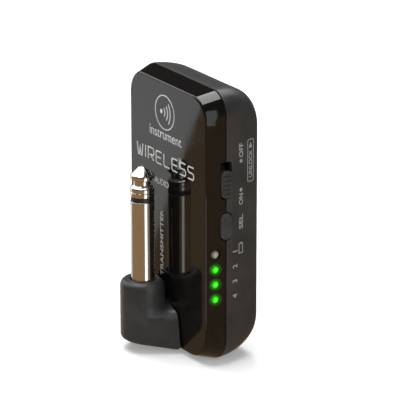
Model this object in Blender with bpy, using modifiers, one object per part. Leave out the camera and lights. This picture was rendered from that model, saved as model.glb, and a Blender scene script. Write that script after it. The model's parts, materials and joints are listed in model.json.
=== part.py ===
"""Wireless guitar transmitter: a pocket housing with a swivelling quarter-inch jack plug.

Metres, +Z up.  X is the width: the switch, button and lamps are on the +X side and the charging
port is on the -X side.  -Y is the glossy front that carries the plug, +Y the flat back.
The origin is at the middle of the footprint, level with the lowest point of the housing.
"""
import math

import bmesh
import bpy
from mathutils import Matrix, Vector

MM = 0.001

# ---- driving dimensions ---------------------------------------------------------------------
BODY_W = 40.3 * MM           # across the parting line, the widest section
BODY_H = 74.5 * MM
BODY_D = 16.8 * MM
SEAM_DEPTH = 5.3 * MM        # front face to parting line
FRONT_TAPER_X = 1.6 * MM     # how much narrower the front face is, each side
FRONT_TAPER_Z = 1.4 * MM
BACK_TAPER_X = 2.5 * MM
TOP_DROP = 5.4 * MM          # how far the back curves down from the top edge
BOTTOM_RISE = 5.4 * MM       # and up from the bottom edge
BOTTOM_CURVE_DEPTH = 7.4 * MM  # depth where the bottom starts to curve up
CORNER_R_TOP = 6.2 * MM
CORNER_R_BOTTOM = 8.0 * MM
FRONT_EDGE_R = 0.4 * MM
BACK_EDGE_R = 0.9 * MM
WALL = 1.5 * MM
LIP_T = 0.9 * MM             # lip of the rear housing inside the cover's rim
GAP = 0.3 * MM               # clearance between neighbouring pieces

PLUG_R = 6.35 / 2 * MM       # quarter-inch jack plug
PLUG_STANDOFF = 5.75 * MM    # plug axis to front face
PLUG_X = -3.4 * MM
PLUG_BASE_Z = 19.7 * MM      # shoulder where the plug leaves its collar
RING_Z = 42.05 * MM          # middle of the insulating ring
RING_H = 1.25 * MM
TIP_TOP_Z = 50.8 * MM
TIP_NECK_R = 2.4 * MM        # waist that the socket's spring grips
COLLAR_R = 6.1 * MM
COLLAR_BOTTOM_Z = 2.0 * MM
COLLAR_FLAT = 1.3 * MM       # space between the collar's flat back and the front face
SOCKET_BOTTOM_Z = 5.4 * MM   # floor of the hollow under the plug
FOOT_TOP_Z = 12.1 * MM       # at the front face; the foot drops to the next value at the collar
FOOT_TOP_NEAR_Z = 10.6 * MM
GUSSET_TOP_Z = 14.0 * MM     # narrower shoulder between collar and foot
FOOT_BOTTOM_Z = 1.3 * MM
FOOT_HALF_TOP = 8.8 * MM     # half width where the foot meets the front face
FOOT_HALF_BOTTOM = 10.4 * MM
SWIVEL_Z = 7.6 * MM          # swivel shaft height
SHAFT_R = 3.0 * MM
SHAFT_BORE_R = 1.7 * MM
SOCKET_R = PLUG_R + 0.4 * MM     # bore of the collar that the plug's flange sits in

SWITCH_Z = (46.3 * MM, 56.4 * MM)
SWITCH_Y = 5.45 * MM         # depth of the switch and button centres
SLOT_W = 3.5 * MM
KNOB_L = 7.3 * MM
KNOB_W = 3.0 * MM
KNOB_GROOVES = 5
GROOVE_W = 0.56 * MM
GROOVE_DEEP = 0.35 * MM
CONTROL_FACE = BODY_W / 2 + 0.35 * MM   # outer face of the slider and the button
SEL_Z = 38.8 * MM
SEL_L = 7.3 * MM
SEL_W = 3.3 * MM
LAMP_Z = 31.4 * MM           # top lamp
LAMP_PITCH = 4.13 * MM
LAMP_DEPTH = 2.45 * MM
LAMP_R = 1.1 * MM
PORT_Z = 27.0 * MM
PORT_L = 7.6 * MM
PORT_H = 2.6 * MM
PORT_DEPTH = 5.6 * MM
HOOK_L = 5.6 * MM            # lanyard slot near the top of the back
HOOK_W = 2.6 * MM
HOOK_DEEP = 1.6 * MM
LOOP_SLOT = (7.0 * MM, 2.4 * MM)   # slot low on the back

BOARD_FRONT = 7.4 * MM       # depth of the circuit board's front surface
BOARD_T = 1.0 * MM
BOARD_HALF = 15.2 * MM
BOARD_Z = (9.0 * MM, 68.0 * MM)
BOARD_SCREWS = ((-12.6 * MM, 64.0 * MM), (12.6 * MM, 64.0 * MM), (-12.6 * MM, 13.0 * MM))  # x, z
POST_R = 2.0 * MM            # posts of the front cover that take those screws

FACE_Y = (PLUG_STANDOFF + COLLAR_R - BODY_D) / 2   # front face, with the footprint centred
RING_STEPS = 6               # segments in each rounded corner
ROUND = 32                   # sides of a round piece


# ---- collections, materials and small helpers ------------------------------------------------
def new_collection(name):
    collection = bpy.data.collections.new(name)
    bpy.context.scene.collection.children.link(collection)
    return collection


def material(name, colour, roughness, metallic=0.0, emission=0.0):
    mat = bpy.data.materials.new(name)
    mat.use_nodes = True
    shader = mat.node_tree.nodes["Principled BSDF"]
    shader.inputs["Base Color"].default_value = (*colour, 1.0)
    shader.inputs["Roughness"].default_value = roughness
    shader.inputs["Metallic"].default_value = metallic
    shader.inputs["Emission Color"].default_value = (*colour, 1.0)
    shader.inputs["Emission Strength"].default_value = emission
    return mat


def add_object(name, bm, mat, origin=(0.0, 0.0, 0.0), cutter=False):
    """Turn a bmesh in world space into an object whose origin is at the given point."""
    bmesh.ops.recalc_face_normals(bm, faces=bm.faces)
    bmesh.ops.translate(bm, verts=bm.verts, vec=-Vector(origin))
    mesh = bpy.data.meshes.new(name)
    bm.to_mesh(mesh)
    bm.free()
    mesh.shade_smooth()
    mesh.set_sharp_from_angle(angle=math.radians(35))
    obj = bpy.data.objects.new(name, mesh)
    obj.location = origin
    if cutter:
        CUTTERS.objects.link(obj)
        obj.hide_render = True
        obj.display_type = "WIRE"
    else:
        PARTS.objects.link(obj)
        obj.data.materials.append(mat)
    return obj


def boolean(target, other, operation="DIFFERENCE"):
    modifier = target.modifiers.new(operation.lower(), "BOOLEAN")
    modifier.operation = operation
    modifier.solver = "EXACT"
    modifier.object = other


def world(x, depth, z):
    """A point given by its depth behind the front face."""
    return Vector((x, FACE_Y + depth, z))


def box_mesh(x, depth, z):
    """A box between pairs of limits."""
    bm = bmesh.new()
    made = bmesh.ops.create_cube(bm, size=1.0)["verts"]
    size = (x[1] - x[0], depth[1] - depth[0], z[1] - z[0])
    middle = world((x[0] + x[1]) / 2, (depth[0] + depth[1]) / 2, (z[0] + z[1]) / 2)
    bmesh.ops.scale(bm, verts=made, vec=size)
    bmesh.ops.translate(bm, verts=made, vec=middle)
    return bm


def bevel_edges(bm, width, chosen=None, segments=2):
    edges = [e for e in bm.edges if chosen is None or chosen(e)]
    bmesh.ops.bevel(bm, geom=edges, offset=width, segments=segments, profile=0.5, affect="EDGES")
    return bm


AXIS_TURN = {
    "X": Matrix.Rotation(math.radians(90), 4, "Y"),
    "Y": Matrix.Rotation(math.radians(-90), 4, "X"),
    "Z": Matrix.Identity(4),
}


def rod_mesh(start, axis, length, radius, sides=ROUND):
    """A cylinder that begins at a point and runs along +X, +Y or +Z."""
    bm = bmesh.new()
    made = bmesh.ops.create_cone(bm, cap_ends=True, segments=sides, radius1=radius,
                                 radius2=radius, depth=length)["verts"]
    shift = Matrix.Translation((0, 0, length / 2))
    bmesh.ops.transform(bm, verts=made, matrix=Matrix.Translation(start) @ AXIS_TURN[axis] @ shift)
    return bm


def screw_object(name, profile, centre, axis, mat, sides=ROUND):
    """A turned piece: profile is (radius, height) pairs, top to bottom on its outer side."""
    mesh = bpy.data.meshes.new(name)
    bm = bmesh.new()
    verts = [bm.verts.new((r, 0, h)) for r, h in profile]
    for a, b in zip(verts, verts[1:]):
        bm.edges.new((a, b))
    if profile[0] != profile[-1] and profile[0][0] > 0:
        bm.edges.new((verts[-1], verts[0]))
    bm.to_mesh(mesh)
    bm.free()
    obj = bpy.data.objects.new(name, mesh)
    obj.location = centre
    obj.rotation_euler = AXIS_TURN[axis].to_euler()
    screw = obj.modifiers.new("turn", "SCREW")
    screw.axis = "Z"
    screw.steps = sides
    screw.render_steps = sides
    screw.use_merge_vertices = True
    screw.merge_threshold = 1e-6
    screw.use_smooth_shade = True
    PARTS.objects.link(obj)
    obj.data.materials.append(mat)


def arc(centre, radius, start, end, steps):
    """Points of an arc in a (radius, height) profile, angles in degrees."""
    points = []
    for i in range(steps + 1):
        angle = math.radians(start + (end - start) * i / steps)
        points.append((centre[0] + radius * math.cos(angle), centre[1] + radius * math.sin(angle)))
    return points


# ---- the housing's shape ----------------------------------------------------------------------
def outline(depth, inset=0.0, back=BODY_D):
    """Half width, low z and high z of the housing's section at a depth."""
    rear_run = back - SEAM_DEPTH
    if depth < SEAM_DEPTH:
        front = 1 - depth / SEAM_DEPTH
        half = BODY_W / 2 - FRONT_TAPER_X * front
        low = FRONT_TAPER_Z * front
        high = BODY_H - FRONT_TAPER_Z * front
    else:
        k = min((depth - SEAM_DEPTH) / rear_run, 1.0)
        half = BODY_W / 2 - BACK_TAPER_X * k
        low = 0.0
        high = BODY_H - TOP_DROP * (1 - math.sqrt(1 - k * k))
        if depth > BOTTOM_CURVE_DEPTH:
            m = min((depth - BOTTOM_CURVE_DEPTH) / (back - BOTTOM_CURVE_DEPTH), 1.0)
            low = BOTTOM_RISE * (1 - math.sqrt(1 - m * m))
    front_round = max(FRONT_EDGE_R - depth, 0.0)
    back_round = max(depth - (back - BACK_EDGE_R), 0.0)
    trim = FRONT_EDGE_R - math.sqrt(FRONT_EDGE_R ** 2 - front_round ** 2)
    side_trim = BACK_EDGE_R - math.sqrt(max(BACK_EDGE_R ** 2 - back_round ** 2, 0.0))
    half -= trim + side_trim + inset
    return half, low + trim + inset, high - trim - inset


def ring_points(depth, inset=0.0, back=BODY_D):
    """The rounded rectangle of one section, anticlockwise seen from the back."""
    half, low, high = outline(depth, inset, back)
    top_r, low_r = CORNER_R_TOP - inset, CORNER_R_BOTTOM - inset
    centres = (
        (half - top_r, high - top_r, top_r, 0),
        (top_r - half, high - top_r, top_r, 90),
        (low_r - half, low + low_r, low_r, 180),
        (half - low_r, low + low_r, low_r, 270),
    )
    points = []
    for cx, cz, radius, start in centres:
        for i in range(RING_STEPS + 1):
            angle = math.radians(start + 90 * i / RING_STEPS)
            x = cx + radius * math.cos(angle)
            z = cz + radius * math.sin(angle)
            points.append(world(x, depth, z))
    return points


def loft_mesh(sections, back=BODY_D):
    """Skin sections given as (depth, inset) pairs and cap both ends."""
    bm = bmesh.new()
    rings = [[bm.verts.new(p) for p in ring_points(d, inset, back)] for d, inset in sections]
    for one, two in zip(rings, rings[1:]):
        for i in range(len(one)):
            j = (i + 1) % len(one)
            bm.faces.new((one[i], one[j], two[j], two[i]))
    bm.faces.new(rings[0])
    bm.faces.new(rings[-1])
    return bm


def front_sections():
    """Sections of the front cover: close together on its rounded edge."""
    edge = [FRONT_EDGE_R * (1 - math.cos(math.radians(a))) for a in (0, 30, 60, 90)]
    return [(depth, 0.0) for depth in edge + [SEAM_DEPTH - GAP / 2]]


def rear_sections(start, end, inset, steps):
    """Sections of the rear housing, closer together where it curves into the back."""
    depths = [start + (end - start) * math.sin(math.radians(90 * i / steps)) for i in range(steps + 1)]
    return [(depth, inset) for depth in depths]


def make_front_cover():
    cover = add_object("front_cover", loft_mesh(front_sections()), GLOSS)
    hollow = loft_mesh([(WALL, WALL), (SEAM_DEPTH + 1 * MM, WALL)])
    boolean(cover, add_object("cut_cover_hollow", hollow, None, cutter=True))
    shaft = rod_mesh(world(PLUG_X, -1 * MM, SWIVEL_Z), "Y", 4 * MM, SHAFT_R + GAP)
    boolean(cover, add_object("cut_shaft_hole", shaft, None, cutter=True))
    for i in range(4):
        lamp = rod_mesh(world(11.9 * MM, LAMP_DEPTH, LAMP_Z - i * LAMP_PITCH), "X",
                        11 * MM, LAMP_R + 0.15 * MM, sides=24)
        boolean(cover, add_object(f"cut_lamp_hole_{i + 1}", lamp, None, cutter=True))
    for cutter in SIDE_CUTTERS:
        boolean(cover, cutter)
    return cover


def make_rear_housing():
    """The rear shell, with a lip that reaches inside the front cover's rim."""
    outer = loft_mesh(rear_sections(SEAM_DEPTH + GAP / 2, BODY_D, 0.0, 12))
    shell = add_object("rear_housing", outer, MATTE)
    lip_inset = WALL + GAP
    lip = loft_mesh([(SEAM_DEPTH - 1.4 * MM, lip_inset), (SEAM_DEPTH + 1.0 * MM, lip_inset)])
    boolean(shell, add_object("join_housing_lip", lip, None, cutter=True), "UNION")
    inside = BODY_D - WALL
    lip_hollow = [(SEAM_DEPTH - 2 * MM, lip_inset + LIP_T), (SEAM_DEPTH + 0.9 * MM, lip_inset + LIP_T)]
    hollow = loft_mesh(lip_hollow + rear_sections(SEAM_DEPTH + 1.1 * MM, inside, WALL, 6), back=inside)
    boolean(shell, add_object("cut_housing_hollow", hollow, None, cutter=True))
    for cutter in SIDE_CUTTERS:
        boolean(shell, cutter)
    boolean(shell, hook_cutter())
    boolean(shell, loop_cutter())


def hook_cutter():
    """Lanyard slot where the top curves into the back."""
    bm = bmesh.new()
    made = bmesh.ops.create_cube(bm, size=1.0)["verts"]
    bmesh.ops.scale(bm, verts=made, vec=(HOOK_L, 12 * MM, HOOK_W))
    middle = world(0, BODY_D - 1.0 * MM, BODY_H - 3.2 * MM)
    place = Matrix.Translation(middle) @ Matrix.Rotation(math.radians(48), 4, "X")
    bmesh.ops.transform(bm, verts=made, matrix=place @ Matrix.Translation((0, 6 * MM - HOOK_DEEP, 0)))
    return add_object("cut_hook_slot", bm, None, cutter=True)


def loop_cutter():
    """Round-ended slot low on the back."""
    length, width = LOOP_SLOT
    bm = stadium_mesh(length, width, 4 * MM)
    floor = world(0, BODY_D - 2.2 * MM, 7.4 * MM)
    place = Matrix.Translation(floor) @ Matrix.Rotation(math.radians(-30), 4, "X")
    bmesh.ops.transform(bm, verts=bm.verts, matrix=place @ AXIS_TURN["Y"])
    return add_object("cut_loop_slot", bm, None, cutter=True)


def stadium_mesh(length, width, height, steps=8):
    """A round-ended bar standing on z = 0: length along X, width along Y."""
    bm = bmesh.new()
    straight = length / 2 - width / 2
    points = []
    for side, start in ((1, -90), (-1, 90)):
        for i in range(steps + 1):
            angle = math.radians(start + 180 * i / steps)
            points.append((side * straight + width / 2 * math.cos(angle), width / 2 * math.sin(angle)))
    base = [bm.verts.new((x, y, 0)) for x, y in points]
    face = bm.faces.new(base)
    top = bmesh.ops.extrude_face_region(bm, geom=[face])["geom"]
    bmesh.ops.translate(bm, verts=[v for v in top if isinstance(v, bmesh.types.BMVert)], vec=(0, 0, height))
    return bm


def side_bar(centre_x, centre_depth, centre_z, length, width, height):
    """A round-ended bar whose length runs up Z and whose height runs along +X."""
    bm = stadium_mesh(length, width, height)
    foot = Matrix.Translation(world(centre_x, centre_depth, centre_z))
    bmesh.ops.transform(bm, verts=bm.verts, matrix=foot @ AXIS_TURN["X"])
    return bm


def side_block(x, centre_depth, width, z, corner):
    """A bar through the side wall with rounded long corners."""
    bm = box_mesh(x, (centre_depth - width / 2, centre_depth + width / 2), z)
    return bevel_edges(bm, corner, lambda e: abs((e.verts[0].co - e.verts[1].co).x) > 1e-5, 4)


def make_side_cutters():
    """Openings that cut both shells at the parting line."""
    outer = (BODY_W / 2 - 6 * MM, BODY_W / 2 + 3 * MM)
    slot = side_block(outer, SWITCH_Y, SLOT_W, SWITCH_Z, 0.8 * MM)
    button = side_bar(outer[0], SWITCH_Y, SEL_Z, SEL_L + 2 * GAP, SEL_W + 2 * GAP, 9 * MM)
    port = side_block((-outer[1], -outer[0]), PORT_DEPTH, PORT_H + 2 * GAP,
                      (PORT_Z - PORT_L / 2 - GAP, PORT_Z + PORT_L / 2 + GAP), 1.0 * MM)
    return [
        add_object("cut_switch_slot", slot, None, cutter=True),
        add_object("cut_button_hole", button, None, cutter=True),
        add_object("cut_port_hole", port, None, cutter=True),
    ]


# ---- the plug and its swivel --------------------------------------------------------------------
def collar_mesh():
    """The round collar that the plug stands in."""
    top_round, bottom_round = 1.7 * MM, 1.5 * MM
    profile = [(0, PLUG_BASE_Z)]
    profile += reversed(arc((COLLAR_R - top_round, PLUG_BASE_Z - top_round), top_round, 0, 90, 6))
    low_centre = (COLLAR_R - bottom_round, COLLAR_BOTTOM_Z + bottom_round)
    profile += reversed(arc(low_centre, bottom_round, -90, 0, 5))
    profile += [(0, COLLAR_BOTTOM_Z)]
    bm = bmesh.new()
    verts = [bm.verts.new((r, 0, h)) for r, h in profile]
    edges = [bm.edges.new(pair) for pair in zip(verts, verts[1:])]
    bmesh.ops.spin(bm, geom=verts + edges, axis=(0, 0, 1), cent=(0, 0, 0), angle=math.tau, steps=ROUND,
                   use_merge=True, use_duplicate=False)
    bmesh.ops.remove_doubles(bm, verts=bm.verts, dist=1e-6)
    bmesh.ops.translate(bm, verts=bm.verts, vec=world(PLUG_X, -PLUG_STANDOFF, 0))
    return bm


def wedge_mesh(near, far, rounding):
    """A four-sided block that widens towards the front face, with rounded long edges.

    near and far are (depth, half width on top, half width below, top z, bottom z).
    """
    bm = bmesh.new()
    rings = []
    for depth, half_top, half_low, top, low in (near, far):
        corners = ((half_top, top), (-half_top, top), (-half_low, low), (half_low, low))
        rings.append([bm.verts.new(world(PLUG_X + x, depth, z)) for x, z in corners])
    for i in range(4):
        j = (i + 1) % 4
        bm.faces.new((rings[0][i], rings[0][j], rings[1][j], rings[1][i]))
    bm.faces.new(rings[0])
    bm.faces.new(rings[1])
    along = [e for e in bm.edges if abs((e.verts[0].co - e.verts[1].co).y) > 1e-5]
    bmesh.ops.bevel(bm, geom=along, offset=rounding, segments=4, profile=0.5, affect="EDGES")
    return bm


def foot_meshes():
    """The foot, whose flanks run tangent from the collar to the front face, and its shoulder."""
    half = (FOOT_HALF_TOP + FOOT_HALF_BOTTOM) / 2
    reach = PLUG_STANDOFF - GAP
    angle = math.atan2(reach, half) - math.acos(COLLAR_R / math.hypot(reach, half))
    near_half = COLLAR_R * math.cos(angle) * 0.97
    near_depth = -PLUG_STANDOFF + COLLAR_R * math.sin(angle) * 0.97
    near = (near_depth, near_half, near_half, FOOT_TOP_NEAR_Z, COLLAR_BOTTOM_Z + 0.35 * MM)
    far = (-GAP, FOOT_HALF_TOP, FOOT_HALF_BOTTOM, FOOT_TOP_Z, FOOT_BOTTOM_Z)
    foot = wedge_mesh(near, far, 1.2 * MM)
    shoulder_half = COLLAR_R * 0.8
    low = FOOT_BOTTOM_Z + 3 * MM
    far_half = shoulder_half + 1 * MM
    shoulder = wedge_mesh((-PLUG_STANDOFF, shoulder_half, shoulder_half, GUSSET_TOP_Z, low),
                          (-GAP * 1.5, far_half, far_half, FOOT_TOP_Z + 1 * MM, low), 1.0 * MM)
    return foot, shoulder


def make_plug_arm():
    origin = world(PLUG_X, 0, SWIVEL_Z)
    arm = add_object("plug_arm", collar_mesh(), MATTE, origin)
    reach = WALL + 3.4 * MM      # how far the shaft stands behind the front face
    flat = box_mesh((PLUG_X - 8 * MM, PLUG_X + 8 * MM), (-COLLAR_FLAT, 4 * MM), (0, PLUG_BASE_Z + 3 * MM))
    boolean(arm, add_object("cut_collar_flat", flat, None, origin, cutter=True))
    for name, bm in zip(("join_arm_foot", "join_arm_shoulder"), foot_meshes()):
        boolean(arm, add_object(name, bm, None, origin, cutter=True), "UNION")
    shaft = rod_mesh(world(PLUG_X, -2 * MM, SWIVEL_Z), "Y", reach + 2 * MM, SHAFT_R)
    boolean(arm, add_object("join_arm_shaft", shaft, None, origin, cutter=True), "UNION")
    groove = rod_mesh(world(PLUG_X, WALL + 2.0 * MM, SWIVEL_Z), "Y", 1.0 * MM, SHAFT_R + 1 * MM)
    core = rod_mesh(world(PLUG_X, WALL + 1.0 * MM, SWIVEL_Z), "Y", 3.0 * MM, SHAFT_R - 0.5 * MM)
    groove_cutter = add_object("cut_clip_groove", groove, None, origin, cutter=True)
    boolean(groove_cutter, add_object("keep_groove_core", core, None, origin, cutter=True))
    boolean(arm, groove_cutter)
    bore = rod_mesh(world(PLUG_X, -PLUG_STANDOFF, SOCKET_BOTTOM_Z), "Z", 16 * MM, SOCKET_R)
    hollow = add_object("cut_plug_socket", bore, None, origin, cutter=True)
    wire_start = world(PLUG_X, 1 * MM - PLUG_STANDOFF, SWIVEL_Z)
    wire_way = rod_mesh(wire_start, "Y", PLUG_STANDOFF + reach + 1 * MM, SHAFT_BORE_R, sides=20)
    boolean(hollow, add_object("join_wire_way", wire_way, None, origin, cutter=True), "UNION")
    boolean(arm, hollow)


def make_plug():
    """Sleeve, insulating ring and tip, each turned about the plug's axis."""
    axis = world(PLUG_X, -PLUG_STANDOFF, 0)
    bore = 2.1 * MM
    flange_top = PLUG_BASE_Z - 0.6 * MM
    sleeve_top = RING_Z - RING_H / 2 - 0.02 * MM
    flange_r = SOCKET_R - 0.05 * MM
    sleeve = [
        (bore, sleeve_top), (PLUG_R - 0.15 * MM, sleeve_top), (PLUG_R, sleeve_top - 0.15 * MM),
        (PLUG_R, flange_top), (flange_r, flange_top), (flange_r, flange_top - 2.4 * MM),
        (PLUG_R, flange_top - 2.4 * MM), (PLUG_R, flange_top - 6.0 * MM), (bore, flange_top - 6.0 * MM),
    ]
    screw_object("plug_sleeve", sleeve, axis, "Z", NICKEL)
    ring_top = RING_Z + RING_H / 2
    ring_low = RING_Z - RING_H / 2 + 0.02 * MM
    ring_r, rod = PLUG_R - 0.12 * MM, 1.2 * MM
    tube = bore - 0.1 * MM
    insulator = [
        (rod + 0.1 * MM, ring_top), (ring_r, ring_top), (ring_r, ring_low), (tube, ring_low),
        (tube, flange_top - 6.6 * MM), (rod + 0.1 * MM, flange_top - 6.6 * MM),
    ]
    screw_object("plug_insulator", insulator, axis, "Z", BLACK)
    tip_low = ring_top + 0.04 * MM
    top = TIP_TOP_Z
    tip = [(0, top)]
    tip += reversed(arc((0.6 * MM, top - 0.3 * MM), 0.3 * MM, 45, 90, 2))
    tip += [
        (PLUG_R - 0.15 * MM, top - 2.2 * MM), (PLUG_R, top - 2.4 * MM), (PLUG_R, top - 3.4 * MM),
        (TIP_NECK_R + 0.1 * MM, top - 4.0 * MM), (TIP_NECK_R, top - 4.6 * MM),
        (TIP_NECK_R + 0.1 * MM, top - 5.1 * MM), (PLUG_R - 0.15 * MM, top - 5.7 * MM),
        (PLUG_R, top - 5.9 * MM),
        (PLUG_R, tip_low), (rod, tip_low), (rod, flange_top - 8.0 * MM), (0, flange_top - 8.0 * MM),
    ]
    screw_object("plug_tip", tip, axis, "Z", NICKEL)


def make_swivel():
    """Friction washer, spring washer and clip that hold the shaft inside the front cover."""
    def washer(name, start, thickness, inner, outer, mat):
        bm = rod_mesh(world(PLUG_X, start, SWIVEL_Z), "Y", thickness, outer)
        obj = add_object(name, bm, mat, world(PLUG_X, start, SWIVEL_Z))
        hole = rod_mesh(world(PLUG_X, start - 1 * MM, SWIVEL_Z), "Y", thickness + 2 * MM, inner)
        boolean(obj, add_object(f"cut_{name}", hole, None, cutter=True))
        return obj

    inner = SHAFT_R + 0.15 * MM
    washer("friction_washer", WALL + 0.05 * MM, 0.5 * MM, inner, 5.0 * MM, WHITE)
    washer("spring_washer", WALL + 0.7 * MM, 0.8 * MM, inner, 4.6 * MM, STEEL)
    clip = washer("retaining_clip", WALL + 2.1 * MM, 0.7 * MM, SHAFT_R - 0.35 * MM, 4.4 * MM, STEEL)
    mouth = box_mesh((PLUG_X - 1.6 * MM, PLUG_X + 1.6 * MM), (WALL + 1 * MM, WALL + 4 * MM),
                     (SWIVEL_Z, SWIVEL_Z + 8 * MM))
    boolean(clip, add_object("cut_clip_mouth", mouth, None, cutter=True))


# ---- controls on the +X side --------------------------------------------------------------------
def make_power_switch():
    """Ribbed slider in its slot, and the switch that it moves."""
    low = SWITCH_Z[0] + GAP
    face = CONTROL_FACE
    knob_mesh = side_block((BODY_W / 2 - 2.6 * MM, face), SWITCH_Y, KNOB_W, (low, low + KNOB_L), 0.6 * MM)
    origin = world(face, SWITCH_Y, low + KNOB_L / 2)
    knob = add_object("power_switch_knob", knob_mesh, DARK, origin)
    for i in range(KNOB_GROOVES):
        z = low + KNOB_L * (i + 1) / (KNOB_GROOVES + 1)
        groove = box_mesh((face - GROOVE_DEEP, face + 1 * MM), (SWITCH_Y - 3 * MM, SWITCH_Y + 3 * MM),
                          (z - GROOVE_W / 2, z + GROOVE_W / 2))
        boolean(knob, add_object(f"cut_knob_groove_{i + 1}", groove, None, cutter=True))
    flange = box_mesh((BODY_W / 2 - 4.7 * MM, BODY_W / 2 - 3.6 * MM),
                      (SWITCH_Y - 1.8 * MM, SWITCH_Y + 1.7 * MM), (low - 0.2 * MM, low + KNOB_L + 0.4 * MM))
    stem = box_mesh((BODY_W / 2 - 4.0 * MM, BODY_W / 2 - 2.2 * MM),
                    (SWITCH_Y - 1.2 * MM, SWITCH_Y + 1.2 * MM), (low + 1 * MM, low + KNOB_L - 1 * MM))
    lever = box_mesh((BODY_W / 2 - 6.6 * MM, BODY_W / 2 - 4.2 * MM),
                     (SWITCH_Y - 0.5 * MM, SWITCH_Y + 0.5 * MM), (low + 2.6 * MM, low + 4.6 * MM))
    for name, bm in (("flange", flange), ("stem", stem), ("lever", lever)):
        boolean(knob, add_object(f"join_knob_{name}", bm, None, cutter=True), "UNION")
    body = box_mesh((9.4 * MM, 14.4 * MM), (BOARD_FRONT - 3.7 * MM, BOARD_FRONT - GAP / 2),
                    (SWITCH_Z[0] - 0.4 * MM, SWITCH_Z[1] + 0.4 * MM))
    switch = add_object("slide_switch_body", bevel_edges(body, 0.15 * MM, segments=1), STEEL)
    window = box_mesh((12.6 * MM, 15 * MM), (SWITCH_Y - 0.9 * MM, SWITCH_Y + 0.9 * MM),
                      (low + 2.2 * MM, low + 7.6 * MM))
    boolean(switch, add_object("cut_switch_window", window, None, cutter=True))


def make_select_button():
    face = CONTROL_FACE
    foot_x = BODY_W / 2 - 3.4 * MM
    cap = side_bar(foot_x, SWITCH_Y, SEL_Z, SEL_L, SEL_W, face - foot_x)
    rim = [e for e in cap.edges if all(v.co.x > face - 1e-6 for v in e.verts)]
    bmesh.ops.bevel(cap, geom=rim, offset=0.4 * MM, segments=3, profile=0.5, affect="EDGES")
    origin = world(face, SWITCH_Y, SEL_Z)
    button = add_object("select_button", cap, DARK, origin)
    flange = side_bar(15.7 * MM, SWITCH_Y, SEL_Z, SEL_L + 2 * MM, SEL_W + 0.4 * MM, 1.1 * MM)
    boolean(button, add_object("join_button_flange", flange, None, cutter=True), "UNION")
    stem = rod_mesh(world(15.05 * MM, SWITCH_Y, SEL_Z), "X", 1.2 * MM, 0.9 * MM, sides=20)
    boolean(button, add_object("join_button_stem", stem, None, cutter=True), "UNION")
    body = box_mesh((10.6 * MM, 14.2 * MM), (BOARD_FRONT - 3.5 * MM, BOARD_FRONT - GAP / 2),
                    (SEL_Z - 3 * MM, SEL_Z + 3 * MM))
    switch = add_object("tactile_switch", bevel_edges(body, 0.15 * MM, segments=1), STEEL)
    well = rod_mesh(world(13.0 * MM, SWITCH_Y, SEL_Z), "X", 2 * MM, 1.0 * MM, sides=20)
    boolean(switch, add_object("cut_plunger_well", well, None, cutter=True))
    plunger = rod_mesh(world(13.6 * MM, SWITCH_Y, SEL_Z), "X", 1.15 * MM, 0.85 * MM, sides=20)
    add_object("switch_plunger", plunger, BLACK)


def make_lamps():
    """Four light pipes that stand on the board's lamps and show through the cover's side."""
    for i in range(4):
        z = LAMP_Z - i * LAMP_PITCH
        mat = CLEAR if i == 0 else GREEN
        half = outline(LAMP_DEPTH)[0]
        start = 12.6 * MM
        pipe_mesh = rod_mesh(world(start, LAMP_DEPTH, z), "X", half + 0.1 * MM - start, LAMP_R, sides=24)
        pipe = add_object(f"light_pipe_{i + 1}", pipe_mesh, mat)
        leg = box_mesh((12.2 * MM, 14.2 * MM), (LAMP_DEPTH - 0.7 * MM, BOARD_FRONT - 1.0 * MM),
                       (z - 0.8 * MM, z + 0.8 * MM))
        boolean(pipe, add_object(f"join_pipe_leg_{i + 1}", leg, None, cutter=True), "UNION")
        chip = box_mesh((12.4 * MM, 14.0 * MM), (BOARD_FRONT - 0.7 * MM, BOARD_FRONT - 0.05 * MM),
                        (z - 0.4 * MM, z + 0.4 * MM))
        add_object(f"lamp_chip_{i + 1}", chip, mat)


# ---- charging port, board and battery ------------------------------------------------------------
def make_charging_port():
    low_x = -BODY_W / 2 + 0.9 * MM
    depth = (PORT_DEPTH - PORT_H / 2, PORT_DEPTH + PORT_H / 2)
    z = (PORT_Z - PORT_L / 2, PORT_Z + PORT_L / 2)
    shell_mesh = box_mesh((low_x, low_x + 5.4 * MM), depth, z)
    along = lambda e: abs((e.verts[0].co - e.verts[1].co).x) > 1e-5
    shell = add_object("charging_port_shell", bevel_edges(shell_mesh, 0.7 * MM, along, 3), STEEL)
    wall = 0.3 * MM
    cavity = box_mesh((low_x - 1 * MM, low_x + 5.0 * MM), (depth[0] + wall, depth[1] - wall),
                      (z[0] + wall, z[1] - wall))
    bevel_edges(cavity, 0.45 * MM, along, 3)
    boolean(shell, add_object("cut_port_cavity", cavity, None, cutter=True))
    tongue = box_mesh((low_x + 0.7 * MM, low_x + 4.9 * MM), (PORT_DEPTH - 0.3 * MM, PORT_DEPTH + 0.35 * MM),
                      (PORT_Z - 2.6 * MM, PORT_Z + 2.6 * MM))
    add_object("charging_port_tongue", tongue, BLACK)


def make_board():
    board_mesh = box_mesh((-BOARD_HALF, BOARD_HALF), (BOARD_FRONT, BOARD_FRONT + BOARD_T), BOARD_Z)
    bevel_edges(board_mesh, 2.5 * MM, lambda e: abs((e.verts[0].co - e.verts[1].co).y) > 1e-5, 3)
    board = add_object("main_circuit_board", board_mesh, BOARD_GREEN)
    for i, (x, z) in enumerate(BOARD_SCREWS):
        hole = rod_mesh(world(x, BOARD_FRONT - 1 * MM, z), "Y", 3 * MM, 1.0 * MM, sides=16)
        boolean(board, add_object(f"cut_board_hole_{i + 1}", hole, None, cutter=True))
        make_board_screw(i + 1, x, z)


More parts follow.
